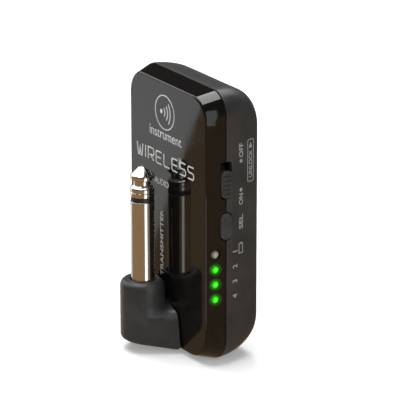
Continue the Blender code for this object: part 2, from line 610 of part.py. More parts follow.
def make_board_screw(number, x, z):
    """Pan-head screw that holds the board to a post of the front cover."""
    head_depth = BOARD_FRONT + BOARD_T + 0.1 * MM
    profile = [(0, 1.0 * MM), (1.1 * MM, 1.0 * MM), (1.6 * MM, 0.6 * MM), (1.6 * MM, 0),
               (0.7 * MM, 0), (0.7 * MM, -4.2 * MM), (0, -4.6 * MM)]
    screw_object(f"board_screw_{number}", profile, world(x, head_depth, z), "Y", STEEL, sides=16)
    post_start = WALL - 0.5 * MM
    post_mesh = rod_mesh(world(x, post_start, z), "Y", BOARD_FRONT - 0.1 * MM - post_start, POST_R, sides=20)
    post = add_object(f"join_screw_post_{number}", post_mesh, None, cutter=True)
    boolean(FRONT_COVER, post, "UNION")
    hole = rod_mesh(world(x, 2.2 * MM, z), "Y", 6.5 * MM, 0.85 * MM, sides=16)
    boolean(FRONT_COVER, add_object(f"cut_screw_post_{number}", hole, None, cutter=True))


def make_board_parts():
    """Screening can, chips and aerial on the board, all on its front surface."""
    foot = BOARD_FRONT - 0.05 * MM

    def chip(name, x, z, size, height, mat):
        bm = box_mesh((x - size[0] / 2, x + size[0] / 2), (foot - height, foot),
                      (z - size[1] / 2, z + size[1] / 2))
        add_object(name, bevel_edges(bm, 0.12 * MM, segments=1), mat)

    chip("radio_shield", -2.5 * MM, 52.0 * MM, (13 * MM, 12 * MM), 1.8 * MM, STEEL)
    chip("audio_chip", -2.0 * MM, 38.0 * MM, (6 * MM, 6 * MM), 0.9 * MM, BLACK)
    chip("charger_chip", -8.0 * MM, 20.5 * MM, (3 * MM, 3 * MM), 0.9 * MM, BLACK)
    chip("crystal", -9.5 * MM, 38.0 * MM, (3.2 * MM, 2.5 * MM), 0.8 * MM, NICKEL)
    chip("aerial", 0.0, 65.2 * MM, (9.0 * MM, 3.0 * MM), 1.2 * MM, WHITE)
    chip("battery_socket", 5.5 * MM, 15.0 * MM, (5.0 * MM, 4.0 * MM), 3.0 * MM, WHITE)


def make_battery():
    front = BOARD_FRONT + BOARD_T + 1.3 * MM
    cell_mesh = box_mesh((-11.5 * MM, 11.5 * MM), (front, front + 4.0 * MM), (20 * MM, 56 * MM))
    add_object("battery_cell", bevel_edges(cell_mesh, 1.0 * MM, segments=3), SILVER)
    tape = box_mesh((-8 * MM, 8 * MM), (front - 1.0 * MM, front - 0.3 * MM), (24 * MM, 52 * MM))
    add_object("battery_tape", bevel_edges(tape, 0.15 * MM, segments=1), WHITE)


def make_wire(name, points, mat):
    """A thin insulated wire through the given points."""
    curve = bpy.data.curves.new(name, "CURVE")
    curve.dimensions = "3D"
    curve.bevel_depth = 0.35 * MM
    curve.bevel_resolution = 2
    curve.use_fill_caps = True
    spline = curve.splines.new("POLY")
    smooth = smooth_route([world(*p) for p in points], 5)
    spline.points.add(len(smooth) - 1)
    for point, place in zip(spline.points, smooth):
        point.co = (*place, 1.0)
    obj = bpy.data.objects.new(name, curve)
    PARTS.objects.link(obj)
    obj.data.materials.append(mat)


def smooth_route(points, steps):
    """Points along a Catmull-Rom curve through the given ones."""
    ends = [points[0] * 2 - points[1]] + points + [points[-1] * 2 - points[-2]]
    route = []
    for a, b, c, d in zip(ends, ends[1:], ends[2:], ends[3:]):
        for i in range(steps):
            t = i / steps
            route.append(0.5 * (2 * b + (c - a) * t + (2 * a - 5 * b + 4 * c - d) * t ** 2
                                + (3 * b - a - 3 * c + d) * t ** 3))
    return route + [points[-1]]


def make_wires():
    """Plug leads from the hollow shaft to the board, and battery leads to their socket."""
    z = SWIVEL_Z
    start = WALL + 2.8 * MM
    plug_leads = (("plug_lead_tip", 1, 24.0 * MM, RED), ("plug_lead_sleeve", -1, 22.0 * MM, BLACK))
    for name, side, end_z, mat in plug_leads:
        x = PLUG_X + side * 0.6 * MM
        route = ((x, start, z), (x, start + 1.0 * MM, z),
                 (x + side * 0.3 * MM, start + 1.9 * MM, z + 1.6 * MM),
                 (x + side * 1.0 * MM, start + 2.2 * MM, z + 5 * MM),
                 (x + side * 1.5 * MM, start + 2.3 * MM, z + 10 * MM),
                 (x + side * 1.5 * MM, start + 2.5 * MM, end_z))
        make_wire(name, [tuple(p) for p in route], mat)
    for name, side, mat in (("battery_lead_positive", 1, RED), ("battery_lead_negative", -1, BLACK)):
        x = 5.5 * MM + side * 0.8 * MM
        route = ((x, 11.2 * MM, 19.6 * MM), (x, 11.2 * MM, 14.0 * MM), (x, 10.2 * MM, 9.6 * MM),
                 (x, 7.6 * MM, 7.4 * MM), (x, 5.6 * MM, 8.4 * MM), (x, 5.6 * MM, 12.8 * MM))
        make_wire(name, route, mat)


for existing in list(bpy.data.objects):
    bpy.data.objects.remove(existing, do_unlink=True)

PARTS = new_collection("wireless_guitar_transmitter")
CUTTERS = new_collection("cutters")

GLOSS = material("gloss_black", (0.012, 0.011, 0.010), 0.08)
MATTE = material("matte_dark_grey", (0.045, 0.045, 0.043), 0.55)
DARK = material("control_grey", (0.06, 0.06, 0.06), 0.5)
BLACK = material("black_plastic", (0.01, 0.01, 0.01), 0.4)
NICKEL = material("polished_nickel", (0.75, 0.70, 0.64), 0.12, 1.0)
STEEL = material("bright_steel", (0.55, 0.55, 0.56), 0.3, 1.0)
SILVER = material("pouch_foil", (0.6, 0.6, 0.62), 0.35, 1.0)
WHITE = material("white_plastic", (0.75, 0.75, 0.72), 0.5)
RED = material("red_wire", (0.5, 0.02, 0.02), 0.45)
CLEAR = material("clear_lens", (0.85, 0.87, 0.85), 0.2)
GREEN = material("green_lens", (0.05, 0.9, 0.08), 0.2, emission=2.0)
BOARD_GREEN = material("circuit_board", (0.01, 0.12, 0.04), 0.4)

SIDE_CUTTERS = make_side_cutters()
FRONT_COVER = make_front_cover()
make_rear_housing()
make_plug_arm()
make_plug()
make_swivel()
make_power_switch()
make_select_button()
make_lamps()
make_charging_port()
make_board()
make_board_parts()
make_battery()
make_wires()
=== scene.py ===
"""Looks of the wireless guitar transmitter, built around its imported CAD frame.

Metres, in the frame of the CAD: +Z up, -Y the gloss front that carries the plug, +X the side with
the power slider, the button and the lamps.  A depth is a distance behind the front face.
"""
import json
import math

import bmesh
import bpy
import numpy as np
from mathutils import Matrix, Vector

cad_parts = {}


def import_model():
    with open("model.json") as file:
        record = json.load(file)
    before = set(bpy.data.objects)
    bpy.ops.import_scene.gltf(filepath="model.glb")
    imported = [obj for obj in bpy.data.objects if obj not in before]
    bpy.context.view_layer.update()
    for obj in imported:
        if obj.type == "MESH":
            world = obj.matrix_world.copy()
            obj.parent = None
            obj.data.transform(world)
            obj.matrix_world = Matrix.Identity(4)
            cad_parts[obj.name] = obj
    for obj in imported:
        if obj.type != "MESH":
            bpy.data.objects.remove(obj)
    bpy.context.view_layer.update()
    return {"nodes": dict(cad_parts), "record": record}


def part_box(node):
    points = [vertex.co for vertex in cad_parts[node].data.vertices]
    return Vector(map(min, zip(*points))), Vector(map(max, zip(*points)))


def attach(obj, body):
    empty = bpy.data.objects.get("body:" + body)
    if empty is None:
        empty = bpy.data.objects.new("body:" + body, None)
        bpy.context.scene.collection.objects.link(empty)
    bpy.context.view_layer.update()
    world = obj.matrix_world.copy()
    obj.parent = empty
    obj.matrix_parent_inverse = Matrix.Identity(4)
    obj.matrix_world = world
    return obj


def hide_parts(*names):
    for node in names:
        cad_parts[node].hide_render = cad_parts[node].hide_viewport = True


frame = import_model()

MM = 0.001
SMOOTH_ANGLE = 35            # degrees; sharper edges than this stay crisp
CORNER_STEPS = 22            # segments in each rounded corner of the housing

# ---- the housing, as in the CAD part ----
COVER_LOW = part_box("front_cover")[0]
SHELL_LOW, SHELL_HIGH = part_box("rear_housing")
FACE_Y = COVER_LOW.y
BODY_D = SHELL_HIGH.y - FACE_Y
BODY_H = SHELL_HIGH.z
SEAM_DEPTH = 5.3 * MM
GAP = 0.3 * MM
FRONT_TAPER_X = 1.6 * MM
FRONT_TAPER_Z = 1.4 * MM
BACK_TAPER_X = 2.5 * MM
REAR_RUN = BODY_D - SEAM_DEPTH
BODY_W = SHELL_HIGH.x - SHELL_LOW.x + BACK_TAPER_X * GAP / REAR_RUN
TOP_DROP = 5.4 * MM
BOTTOM_RISE = 5.4 * MM
BOTTOM_CURVE_DEPTH = 7.4 * MM
CORNER_R_TOP = 6.2 * MM
CORNER_R_BOTTOM = 8.0 * MM
FRONT_EDGE_R = 0.4 * MM
BACK_EDGE_R = 0.9 * MM
SEAM_EDGE_R = 0.25 * MM      # soft edges along the parting line
WALL = 1.5 * MM
LIP_T = 0.9 * MM

# ---- openings and controls ----
CONTROL_DEPTH = 5.45 * MM
SLOT_W = 3.5 * MM
SLOT_Z = (46.3 * MM, 56.4 * MM)
KNOB_W = 3.0 * MM
KNOB_Z = (46.6 * MM, 53.9 * MM)
KNOB_GROOVES = 5
BUTTON_Z = 38.8 * MM
BUTTON_L = 7.3 * MM
BUTTON_W = 3.3 * MM
CONTROL_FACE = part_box("select_button")[1].x
LAMP_DEPTH = 2.45 * MM
LAMP_R = 1.1 * MM
LAMP_COUNT = 4
PORT_LOW, PORT_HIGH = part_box("charging_port_shell")
PORT_DEPTH = (PORT_LOW.y + PORT_HIGH.y) / 2 - FACE_Y
PORT_Z = (PORT_LOW.z + PORT_HIGH.z) / 2
PORT_CORNER = 0.7 * MM

# ---- plug and arm ----
SLEEVE_LOW, SLEEVE_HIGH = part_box("plug_sleeve")
TIP_LOW, TIP_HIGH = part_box("plug_tip")
RING_LOW, RING_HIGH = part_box("plug_insulator")
PLUG_X = (SLEEVE_LOW.x + SLEEVE_HIGH.x) / 2
PLUG_Y = (SLEEVE_LOW.y + SLEEVE_HIGH.y) / 2
PLUG_STANDOFF = FACE_Y - PLUG_Y
PLUG_R = 6.35 / 2 * MM
PLUG_BASE_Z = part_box("plug_arm")[1].z
TIP_NECK_R = 2.4 * MM         # the waist behind the tip's ball
SHAFT_HOLE_R = 3.3 * MM
RING_H = 1.25 * MM
SWIVEL_Z = 7.6 * MM


# ---- small helpers ----
def world(x, depth, z):
    return Vector((x, FACE_Y + depth, z))


def lerp(a, b, t):
    return a + (b - a) * t


def arc(cx, cy, radius, start, end, steps):
    """Points of an arc, angles in degrees."""
    angles = [math.radians(lerp(start, end, i / steps)) for i in range(steps + 1)]
    return [(cx + radius * math.cos(a), cy + radius * math.sin(a)) for a in angles]


def turns(end, steps, first=0):
    """Angles from 0 to end degrees, in radians; first is the one to start with."""
    return [math.radians(end * i / steps) for i in range(first, steps + 1)]


def mesh_object(name, bm, mat=None, smooth_angle=SMOOTH_ANGLE):
    bmesh.ops.recalc_face_normals(bm, faces=bm.faces)
    mesh = bpy.data.meshes.new(name)
    bm.to_mesh(mesh)
    bm.free()
    mesh.shade_smooth()
    mesh.set_sharp_from_angle(angle=math.radians(smooth_angle))
    obj = bpy.data.objects.new(name, mesh)
    bpy.context.scene.collection.objects.link(obj)
    if mat:
        obj.data.materials.append(mat)
    return obj


def carve(obj, cutters, operation="DIFFERENCE"):
    """Cut or join other objects, keep the result as the object's mesh and drop the others."""
    for other in cutters:
        modifier = obj.modifiers.new("carve", "BOOLEAN")
        modifier.operation = operation
        modifier.solver = "EXACT"
        modifier.object = other
    graph = bpy.context.evaluated_depsgraph_get()
    made = bpy.data.meshes.new_from_object(obj.evaluated_get(graph))
    obj.modifiers.clear()
    obj.data = made
    for other in cutters:
        bpy.data.objects.remove(other)
    return obj


def even_shading(obj):
    """Flat faces stay flat in reflections beside small rounded edges."""
    obj.data.shade_smooth()
    obj.data.set_sharp_from_angle(angle=math.radians(SMOOTH_ANGLE))
    modifier = obj.modifiers.new("even_shading", "WEIGHTED_NORMAL")
    modifier.keep_sharp = True
    modifier.weight = 80


def loft(rings):
    """Skin between closed rings of points, capped at both ends."""
    bm = bmesh.new()
    made = [[bm.verts.new(p) for p in ring] for ring in rings]
    for one, two in zip(made, made[1:]):
        for i in range(len(one)):
            j = (i + 1) % len(one)
            bm.faces.new((one[i], one[j], two[j], two[i]))
    bm.faces.new(made[0])
    bm.faces.new(made[-1])
    return bm


def box(x, depth, z):
    bm = bmesh.new()
    bmesh.ops.create_cube(bm, size=1.0)
    bmesh.ops.scale(bm, verts=bm.verts, vec=(x[1] - x[0], depth[1] - depth[0], z[1] - z[0]))
    middle = world((x[0] + x[1]) / 2, (depth[0] + depth[1]) / 2, (z[0] + z[1]) / 2)
    bmesh.ops.translate(bm, verts=bm.verts, vec=middle)
    return bm


def rounded_ring(half_u, half_v, radius, steps=10):
    """A rounded rectangle about the origin as (u, v) points."""
    u, v = half_u - radius, half_v - radius
    corners = ((u, v, 0), (-u, v, 90), (-u, -v, 180), (u, -v, 270))
    return [p for cu, cv, start in corners for p in arc(cu, cv, radius, start, start + 90, steps)]


TURN = {
    "X": Matrix.Rotation(math.radians(90), 4, "Y"),
    "Y": Matrix.Rotation(math.radians(-90), 4, "X"),
    "Z": Matrix.Identity(4),
}


def lathe(profile, centre, axis="Z", steps=96):
    """Turn (radius, height) points about an axis; a profile that starts and ends off it is a tube."""
    bm = bmesh.new()
    rings = []
    for radius, height in profile:
        if radius < 1e-7:
            rings.append([bm.verts.new((0, 0, height))])
            continue
        angles = [math.tau * i / steps for i in range(steps)]
        rings.append([bm.verts.new((radius * math.cos(a), radius * math.sin(a), height)) for a in angles])
    pairs = list(zip(rings, rings[1:]))
    if profile[0][0] > 1e-7:
        pairs.append((rings[-1], rings[0]))
    for one, two in pairs:
        for i in range(steps):
            j = (i + 1) % steps
            face = [one[i % len(one)], one[j % len(one)], two[j % len(two)], two[i % len(two)]]
            bm.faces.new(list(dict.fromkeys(face)))
    bmesh.ops.transform(bm, verts=bm.verts, matrix=Matrix.Translation(centre) @ TURN[axis])
    return bm


# ---- materials ----
def principled(mat):
    return mat.node_tree.nodes["Principled BSDF"]


def new_material(name, colour, roughness, metallic=0.0, specular=0.5):
    mat = bpy.data.materials.new(name)
    mat.use_nodes = True
    shader = principled(mat)
    shader.inputs["Base Color"].default_value = (*colour, 1)
    shader.inputs["Roughness"].default_value = roughness
    shader.inputs["Metallic"].default_value = metallic
    shader.inputs["Specular IOR Level"].default_value = specular
    return mat


def place_coords(mat, stretch=(1, 1, 1)):
    """Coordinates in metres on the piece, stretched along its axes."""
    nodes, links = mat.node_tree.nodes, mat.node_tree.links
    coords = nodes.new("ShaderNodeTexCoord")
    mapping = nodes.new("ShaderNodeMapping")
    mapping.inputs["Scale"].default_value = stretch
    links.new(coords.outputs["Object"], mapping.inputs["Vector"])
    return mapping.outputs["Vector"]


def noise(mat, size, detail=3.0, stretch=(1, 1, 1)):
    """Noise whose features are about as large as size."""
    node = mat.node_tree.nodes.new("ShaderNodeTexNoise")
    node.inputs["Scale"].default_value = 1 / size
    node.inputs["Detail"].default_value = detail
    mat.node_tree.links.new(place_coords(mat, stretch), node.inputs["Vector"])
    return node.outputs["Fac"]


def ranged(mat, value, low, high, start=0.35, end=0.65):
    node = mat.node_tree.nodes.new("ShaderNodeMapRange")
    node.inputs["From Min"].default_value = start
    node.inputs["From Max"].default_value = end
    node.inputs["To Min"].default_value = low
    node.inputs["To Max"].default_value = high
    mat.node_tree.links.new(value, node.inputs["Value"])
    return node.outputs["Result"]


def combine(mat, a, b, operation="ADD"):
    node = mat.node_tree.nodes.new("ShaderNodeMath")
    node.operation = operation
    node.use_clamp = operation == "ADD"
    mat.node_tree.links.new(a, node.inputs[0])
    mat.node_tree.links.new(b, node.inputs[1])
    return node.outputs["Value"]


def mixed(mat, factor, one, two):
    """A colour between two, led by a factor."""
    node = mat.node_tree.nodes.new("ShaderNodeMix")
    node.data_type = "RGBA"
    for socket, colour in ((node.inputs[6], one), (node.inputs[7], two)):
        if isinstance(colour, tuple):
            socket.default_value = (*colour, 1)
        else:
            mat.node_tree.links.new(colour, socket)
    mat.node_tree.links.new(factor, node.inputs[0])
    return node.outputs[2]


def plug_in(mat, value, socket):
    mat.node_tree.links.new(value, principled(mat).inputs[socket])


def bump(mat, height, depth, strength=1.0):
    """Raise the surface by a height field; depth is the height of its full range."""
    node = mat.node_tree.nodes.new("ShaderNodeBump")
    node.inputs["Strength"].default_value = strength
    node.inputs["Distance"].default_value = depth
    mat.node_tree.links.new(height, node.inputs["Height"])
    plug_in(mat, node.outputs["Normal"], "Normal")


def edge_mask(mat):
    """1 on convex edges, 0 on flat areas."""
    geometry = mat.node_tree.nodes.new("ShaderNodeNewGeometry")
    return ranged(mat, geometry.outputs["Pointiness"], 0.0, 1.0, 0.52, 0.58)


def lamp_distance(mat, first):
    """Distance to the nearest lamp, counting from the given one."""
    coords = mat.node_tree.nodes.new("ShaderNodeTexCoord")
    nearest = None
    for number in range(first, LAMP_COUNT + 1):
        distance = mat.node_tree.nodes.new("ShaderNodeVectorMath")
        distance.operation = "DISTANCE"
        distance.inputs[1].default_value = lamp_centre(number)
        mat.node_tree.links.new(coords.outputs["Object"], distance.inputs[0])
        value = distance.outputs["Value"]
        nearest = value if nearest is None else combine(mat, nearest, value, "MINIMUM")
    return nearest


def gloss_plastic():
    """Piano-black moulded plastic: fine wiping marks, dust haze and a painted green glow, emitted by the
    cover itself, round the lit lamps.
    """
    mat = new_material("cover_gloss", (0.006, 0.0055, 0.005), 0.05)
    haze = noise(mat, 14 * MM, 4)
    plug_in(mat, mixed(mat, haze, (0.003, 0.0026, 0.0022), (0.007, 0.0061, 0.0052)), "Base Color")
    wipes = noise(mat, 0.5 * MM, 5, (1, 1, 0.06))
    smears = noise(mat, 6 * MM, 3)
    rough = combine(mat, ranged(mat, wipes, 0.0, 0.035, 0.5, 0.75), ranged(mat, smears, 0.03, 0.07))
    plug_in(mat, rough, "Roughness")
    bump(mat, noise(mat, 2.6 * MM, 1), 0.0022 * MM)
    # painted glow: the cover itself emits green light near lamps 2 to 4, standing in for their light falling
    # on it
    near = ranged(mat, lamp_distance(mat, 2), 0.6, 0.0, LAMP_R, LAMP_R + 1.0 * MM)
    plug_in(mat, combine(mat, near, near, "MULTIPLY"), "Emission Strength")
    principled(mat).inputs["Emission Color"].default_value = (0.03, 0.42, 0.008, 1)
    return mat


def matte_plastic(name="housing_matte", colour=(0.034, 0.033, 0.033), roughness=0.36):
    """Spark-eroded mould texture, its colour a little lighter on the convex edges."""
    mat = new_material(name, colour, roughness, specular=0.32)
    lighter = tuple(c * 1.22 for c in colour)
    darker = tuple(c * 0.86 for c in colour)
    tone = mixed(mat, ranged(mat, noise(mat, 7 * MM, 4), 0, 1), darker, lighter)
    # lighter colour on the convex edges, patchy along them
    edge_lightening = combine(mat, edge_mask(mat), ranged(mat, noise(mat, 1.1 * MM, 3), 0.15, 0.9), "MULTIPLY")
    plug_in(mat, mixed(mat, edge_lightening, tone, tuple(c * 1.7 for c in colour)), "Base Color")
    grain = noise(mat, 0.22 * MM, 3)
    plug_in(mat, ranged(mat, grain, roughness - 0.05, roughness + 0.07), "Roughness")
    bump(mat, grain, 0.010 * MM, 0.8)
    return mat


def nickel():
    """Polished plate with fine turning rings and a few handling marks."""
    mat = new_material("plug_nickel", (0.80, 0.74, 0.66), 0.1, metallic=1.0)
    cloud = noise(mat, 3.5 * MM, 4)
    plug_in(mat, mixed(mat, cloud, (0.62, 0.565, 0.50), (0.78, 0.73, 0.67)), "Base Color")
    rings = noise(mat, 0.12 * MM, 2, (0.02, 0.02, 1))
    marks = noise(mat, 0.9 * MM, 5)
    rough = combine(mat, ranged(mat, rings, 0.05, 0.12), ranged(mat, marks, 0.0, 0.10, 0.55, 0.75))
    plug_in(mat, rough, "Roughness")
    bump(mat, rings, 0.0012 * MM)
    return mat


def pressed_steel():
    mat = new_material("steel", (0.56, 0.56, 0.57), 0.28, metallic=1.0)
    brushed = noise(mat, 0.15 * MM, 3, (1, 1, 0.04))
    plug_in(mat, mixed(mat, brushed, (0.44, 0.44, 0.45), (0.62, 0.62, 0.63)), "Base Color")
    plug_in(mat, ranged(mat, brushed, 0.2, 0.4), "Roughness")
    bump(mat, brushed, 0.002 * MM)
    return mat


def plain_plastic(name, colour, roughness):
    """Moulded plastic with a soft colour cloud and a fine surface."""
    mat = new_material(name, colour, roughness)
    cloud = ranged(mat, noise(mat, 2.5 * MM, 4), 0, 1)
    darker, lighter = tuple(c * 0.8 for c in colour), tuple(c * 1.15 for c in colour)
    plug_in(mat, mixed(mat, cloud, darker, lighter), "Base Color")
    grain = noise(mat, 0.3 * MM, 3)
    plug_in(mat, ranged(mat, grain, roughness - 0.06, roughness + 0.08), "Roughness")
    bump(mat, grain, 0.004 * MM)
    return mat


def lamp_material(name, core, rim, strength):
    """A light pipe that is brightest in the middle, with a faint swirl."""
    mat = new_material(name, core, 0.16)
    shader = principled(mat)
    shader.inputs["Coat Weight"].default_value = 0.6
    shader.inputs["Coat Roughness"].default_value = 0.05
    swirl = ranged(mat, noise(mat, 0.7 * MM, 3), 0.0, 0.25)
    edge = combine(mat, ranged(mat, lamp_distance(mat, 1), 0.0, 1.0, 0.35 * LAMP_R, LAMP_R), swirl)
    tone = mixed(mat, edge, core, rim)
    plug_in(mat, tone, "Base Color")
    plug_in(mat, tone, "Emission Color")
    shader.inputs["Emission Strength"].default_value = strength
    plug_in(mat, ranged(mat, swirl, 0.1, 0.22, 0, 0.35), "Roughness")
    return mat


def circuit_board():
    """Green solder mask over copper tracks."""
    mat = new_material("board", (0.01, 0.10, 0.035), 0.32)
    nodes, links = mat.node_tree.nodes, mat.node_tree.links
    brick = nodes.new("ShaderNodeTexBrick")
    brick.inputs["Scale"].default_value = 1 / (5 * MM)
    brick.inputs["Mortar Size"].default_value = 0.06
    brick.inputs["Color1"].default_value = (0.008, 0.085, 0.03, 1)
    brick.inputs["Color2"].default_value = (0.01, 0.11, 0.04, 1)
    brick.inputs["Mortar"].default_value = (0.03, 0.2, 0.07, 1)
    links.new(place_coords(mat), brick.inputs["Vector"])
    plug_in(mat, brick.outputs["Color"], "Base Color")
    plug_in(mat, ranged(mat, noise(mat, 0.8 * MM), 0.25, 0.4), "Roughness")
    bump(mat, brick.outputs["Fac"], 0.02 * MM)
    return mat


def pouch_foil():
    mat = new_material("battery_foil", (0.62, 0.62, 0.64), 0.3, metallic=0.9)
    crease = noise(mat, 2.2 * MM, 5)
    plug_in(mat, mixed(mat, crease, (0.5, 0.5, 0.52), (0.7, 0.7, 0.72)), "Base Color")
    plug_in(mat, ranged(mat, crease, 0.22, 0.42), "Roughness")
    bump(mat, crease, 0.15 * MM)
    return mat


def printed_ink(name, shade):
    """Thin grey printing whose cover is a little uneven."""
    mat = new_material(name, (shade, shade, shade), 0.45)
    speckle = noise(mat, 0.16 * MM, 3)
    thin, full = (0.8 * shade, 0.8 * shade, 0.79 * shade), (1.2 * shade, 1.2 * shade, 1.17 * shade)
    plug_in(mat, mixed(mat, ranged(mat, speckle, 0, 1), thin, full), "Base Color")
    plug_in(mat, ranged(mat, speckle, 0.38, 0.55), "Roughness")
    bump(mat, speckle, 0.003 * MM)
    return mat


# ---- the housing's shape ----
def outline(depth, inset=0.0, back=BODY_D):
    """Half width, low z and high z of the housing's section at a depth."""
    if depth < SEAM_DEPTH:
        front = 1 - max(depth, 0.0) / SEAM_DEPTH
        half = BODY_W / 2 - FRONT_TAPER_X * front
        low = FRONT_TAPER_Z * front
        high = BODY_H - FRONT_TAPER_Z * front
    else:
        k = min((depth - SEAM_DEPTH) / (back - SEAM_DEPTH), 1.0)
        half = BODY_W / 2 - BACK_TAPER_X * k
        low = 0.0
        high = BODY_H - TOP_DROP * (1 - math.sqrt(1 - k * k))
        if depth > BOTTOM_CURVE_DEPTH:
            m = min((depth - BOTTOM_CURVE_DEPTH) / (back - BOTTOM_CURVE_DEPTH), 1.0)
            low = BOTTOM_RISE * (1 - math.sqrt(1 - m * m))
    front_round = max(FRONT_EDGE_R - depth, 0.0)
    back_round = max(depth - (back - BACK_EDGE_R), 0.0)
    trim = FRONT_EDGE_R - math.sqrt(max(FRONT_EDGE_R ** 2 - front_round ** 2, 0.0))
    side_trim = BACK_EDGE_R - math.sqrt(max(BACK_EDGE_R ** 2 - back_round ** 2, 0.0))
    half -= trim + side_trim + inset
    return half, low + trim + inset, high - trim - inset


def section(depth, inset=0.0, back=BODY_D):
    """The rounded rectangle of one section, anticlockwise seen from the back."""
    half, low, high = outline(depth, inset, back)
    top_r, low_r = CORNER_R_TOP - inset, CORNER_R_BOTTOM - inset
    corners = ((half - top_r, high - top_r, top_r, 0), (top_r - half, high - top_r, top_r, 90),
               (low_r - half, low + low_r, low_r, 180), (half - low_r, low + low_r, low_r, 270))
    return [world(x, depth, z) for cx, cz, radius, start in corners
            for x, z in arc(cx, cz, radius, start, start + 90, CORNER_STEPS)]


def edge_sections(depth, radius, towards):
    """(depth, inset) pairs of a rounded edge that ends at a depth; towards is +1 or -1."""
    return [(depth - towards * radius * (1 - math.sin(a)), radius * (1 - math.cos(a)))
            for a in turns(90, 5)]


def side_ring(x, depth, z, ring):
    """Points of a (depth, height) ring in a plane square to X."""
    return [world(x, depth + u, z + v) for u, v in ring]


def side_opening(x, centre_z, length, width, corner, depth):
    """A round-cornered bar along X that opens the side wall."""
    ring = rounded_ring(width / 2, length / 2, corner)
    return loft([side_ring(end, depth, centre_z, ring) for end in x])


def side_openings():
    outer = (BODY_W / 2 - 6 * MM, BODY_W / 2 + 3 * MM)
    slot = side_opening(outer, sum(SLOT_Z) / 2, SLOT_Z[1] - SLOT_Z[0], SLOT_W, 0.9 * MM, CONTROL_DEPTH)
    width = BUTTON_W + 2 * GAP
    hole = side_opening(outer, BUTTON_Z, BUTTON_L + 2 * GAP, width, width / 2 - 0.01 * MM, CONTROL_DEPTH)
    port = side_opening((-outer[1], -outer[0]), PORT_Z, PORT_HIGH.z - PORT_LOW.z + 2 * GAP,
                        PORT_HIGH.y - PORT_LOW.y + 2 * GAP, PORT_CORNER + GAP, PORT_DEPTH)
    return [mesh_object("cut", bm) for bm in (slot, hole, port)]


def lamp_centre(number):
    """Middle of a lamp's outer end."""
    low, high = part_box(f"light_pipe_{number}")
    return Vector((high.x, low.y + LAMP_R, (low.z + high.z) / 2))


def make_cover(mat):
    depths = [FRONT_EDGE_R * (1 - math.cos(a)) for a in turns(90, 9)]
    sections = [(d, 0.0) for d in depths + [FRONT_EDGE_R + 1.5 * MM, FRONT_EDGE_R + 3.0 * MM]]
    sections += edge_sections(SEAM_DEPTH - GAP / 2, SEAM_EDGE_R, 1)
    cover = mesh_object("gloss_front_cover", loft([section(d, i) for d, i in sections]), mat)
    hollow = loft([section(d, WALL) for d in (WALL, SEAM_DEPTH + 1 * MM)])
    cutters = [mesh_object("cut", hollow)] + side_openings()
    shaft = lathe([(0, 5 * MM), (SHAFT_HOLE_R, 5 * MM), (SHAFT_HOLE_R, -1 * MM), (0, -1 * MM)],
                  world(PLUG_X, 0, SWIVEL_Z), "Y")
    cutters.append(mesh_object("cut", shaft))
    for i in range(LAMP_COUNT):
        centre = lamp_centre(i + 1)
        radius = LAMP_R + 0.12 * MM
        hole = [(0, 4 * MM), (radius + 0.6 * MM, 4 * MM), (radius + 0.12 * MM, -0.1 * MM),
                (radius, -0.35 * MM), (radius, -7 * MM), (0, -7 * MM)]
        cutters.append(mesh_object("cut", lathe(hole, centre, "X", 64)))
    carve(cover, cutters)
    even_shading(cover)
    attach(cover, "housing")
    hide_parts("front_cover")


def make_shell(mat):
    start = SEAM_DEPTH + GAP / 2
    rear = [start + (BODY_D - start) * math.sin(a) for a in turns(90, 44)]
    sections = edge_sections(start, SEAM_EDGE_R, -1)[::-1]
    sections += [(d, 0.0) for d in rear if d > start + SEAM_EDGE_R + 0.1 * MM]
    shell = mesh_object("matte_rear_housing", loft([section(d, i) for d, i in sections]), mat)
    lip = loft([section(d, WALL + GAP) for d in (SEAM_DEPTH - 1.4 * MM, SEAM_DEPTH + 1.0 * MM)])
    carve(shell, [mesh_object("join", lip)], "UNION")
    inside = BODY_D - WALL
    rings = [section(d, WALL + GAP + LIP_T) for d in (SEAM_DEPTH - 2 * MM, SEAM_DEPTH + 0.9 * MM)]
    first = SEAM_DEPTH + 1.1 * MM
    rings += [section(first + (inside - first) * math.sin(a), WALL, inside) for a in turns(90, 10)]
    carve(shell, [mesh_object("cut", loft(rings))] + side_openings() + back_slots())
    even_shading(shell)
    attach(shell, "housing")
    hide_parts("rear_housing")


def back_slots():
    """The square slot at the top of the back and the oval one low on it, both blind."""
    hook_deep = 1.6 * MM
    slots = (
        (rounded_ring(2.8 * MM, 1.3 * MM, 0.35 * MM, 4), -hook_deep, 10 * MM,
         world(0, BODY_D - 1.2 * MM, BODY_H - 3.4 * MM), 48),
        (rounded_ring(3.5 * MM, 1.2 * MM, 1.19 * MM), 0, 4 * MM, world(0, BODY_D - 2.2 * MM, 7.4 * MM), -30),
    )
    cutters = []
    for ring, floor, mouth, middle, tilt in slots:
        bm = loft([[Vector((u, y, v)) for u, v in ring] for y in (floor, mouth)])
        place = Matrix.Translation(middle) @ Matrix.Rotation(math.radians(tilt), 4, "X")
        bmesh.ops.transform(bm, verts=bm.verts, matrix=place)
        cutters.append(mesh_object("cut", bm))
    return cutters


# ---- the plug arm: rounded solids blended on a grid ----
def soft_min(a, b, radius):
    h = np.clip(radius - np.abs(a - b), 0, None)
    return np.minimum(a, b) - h * h / (4 * radius)


def soft_max(a, b, radius):
    return -soft_min(-a, -b, radius)


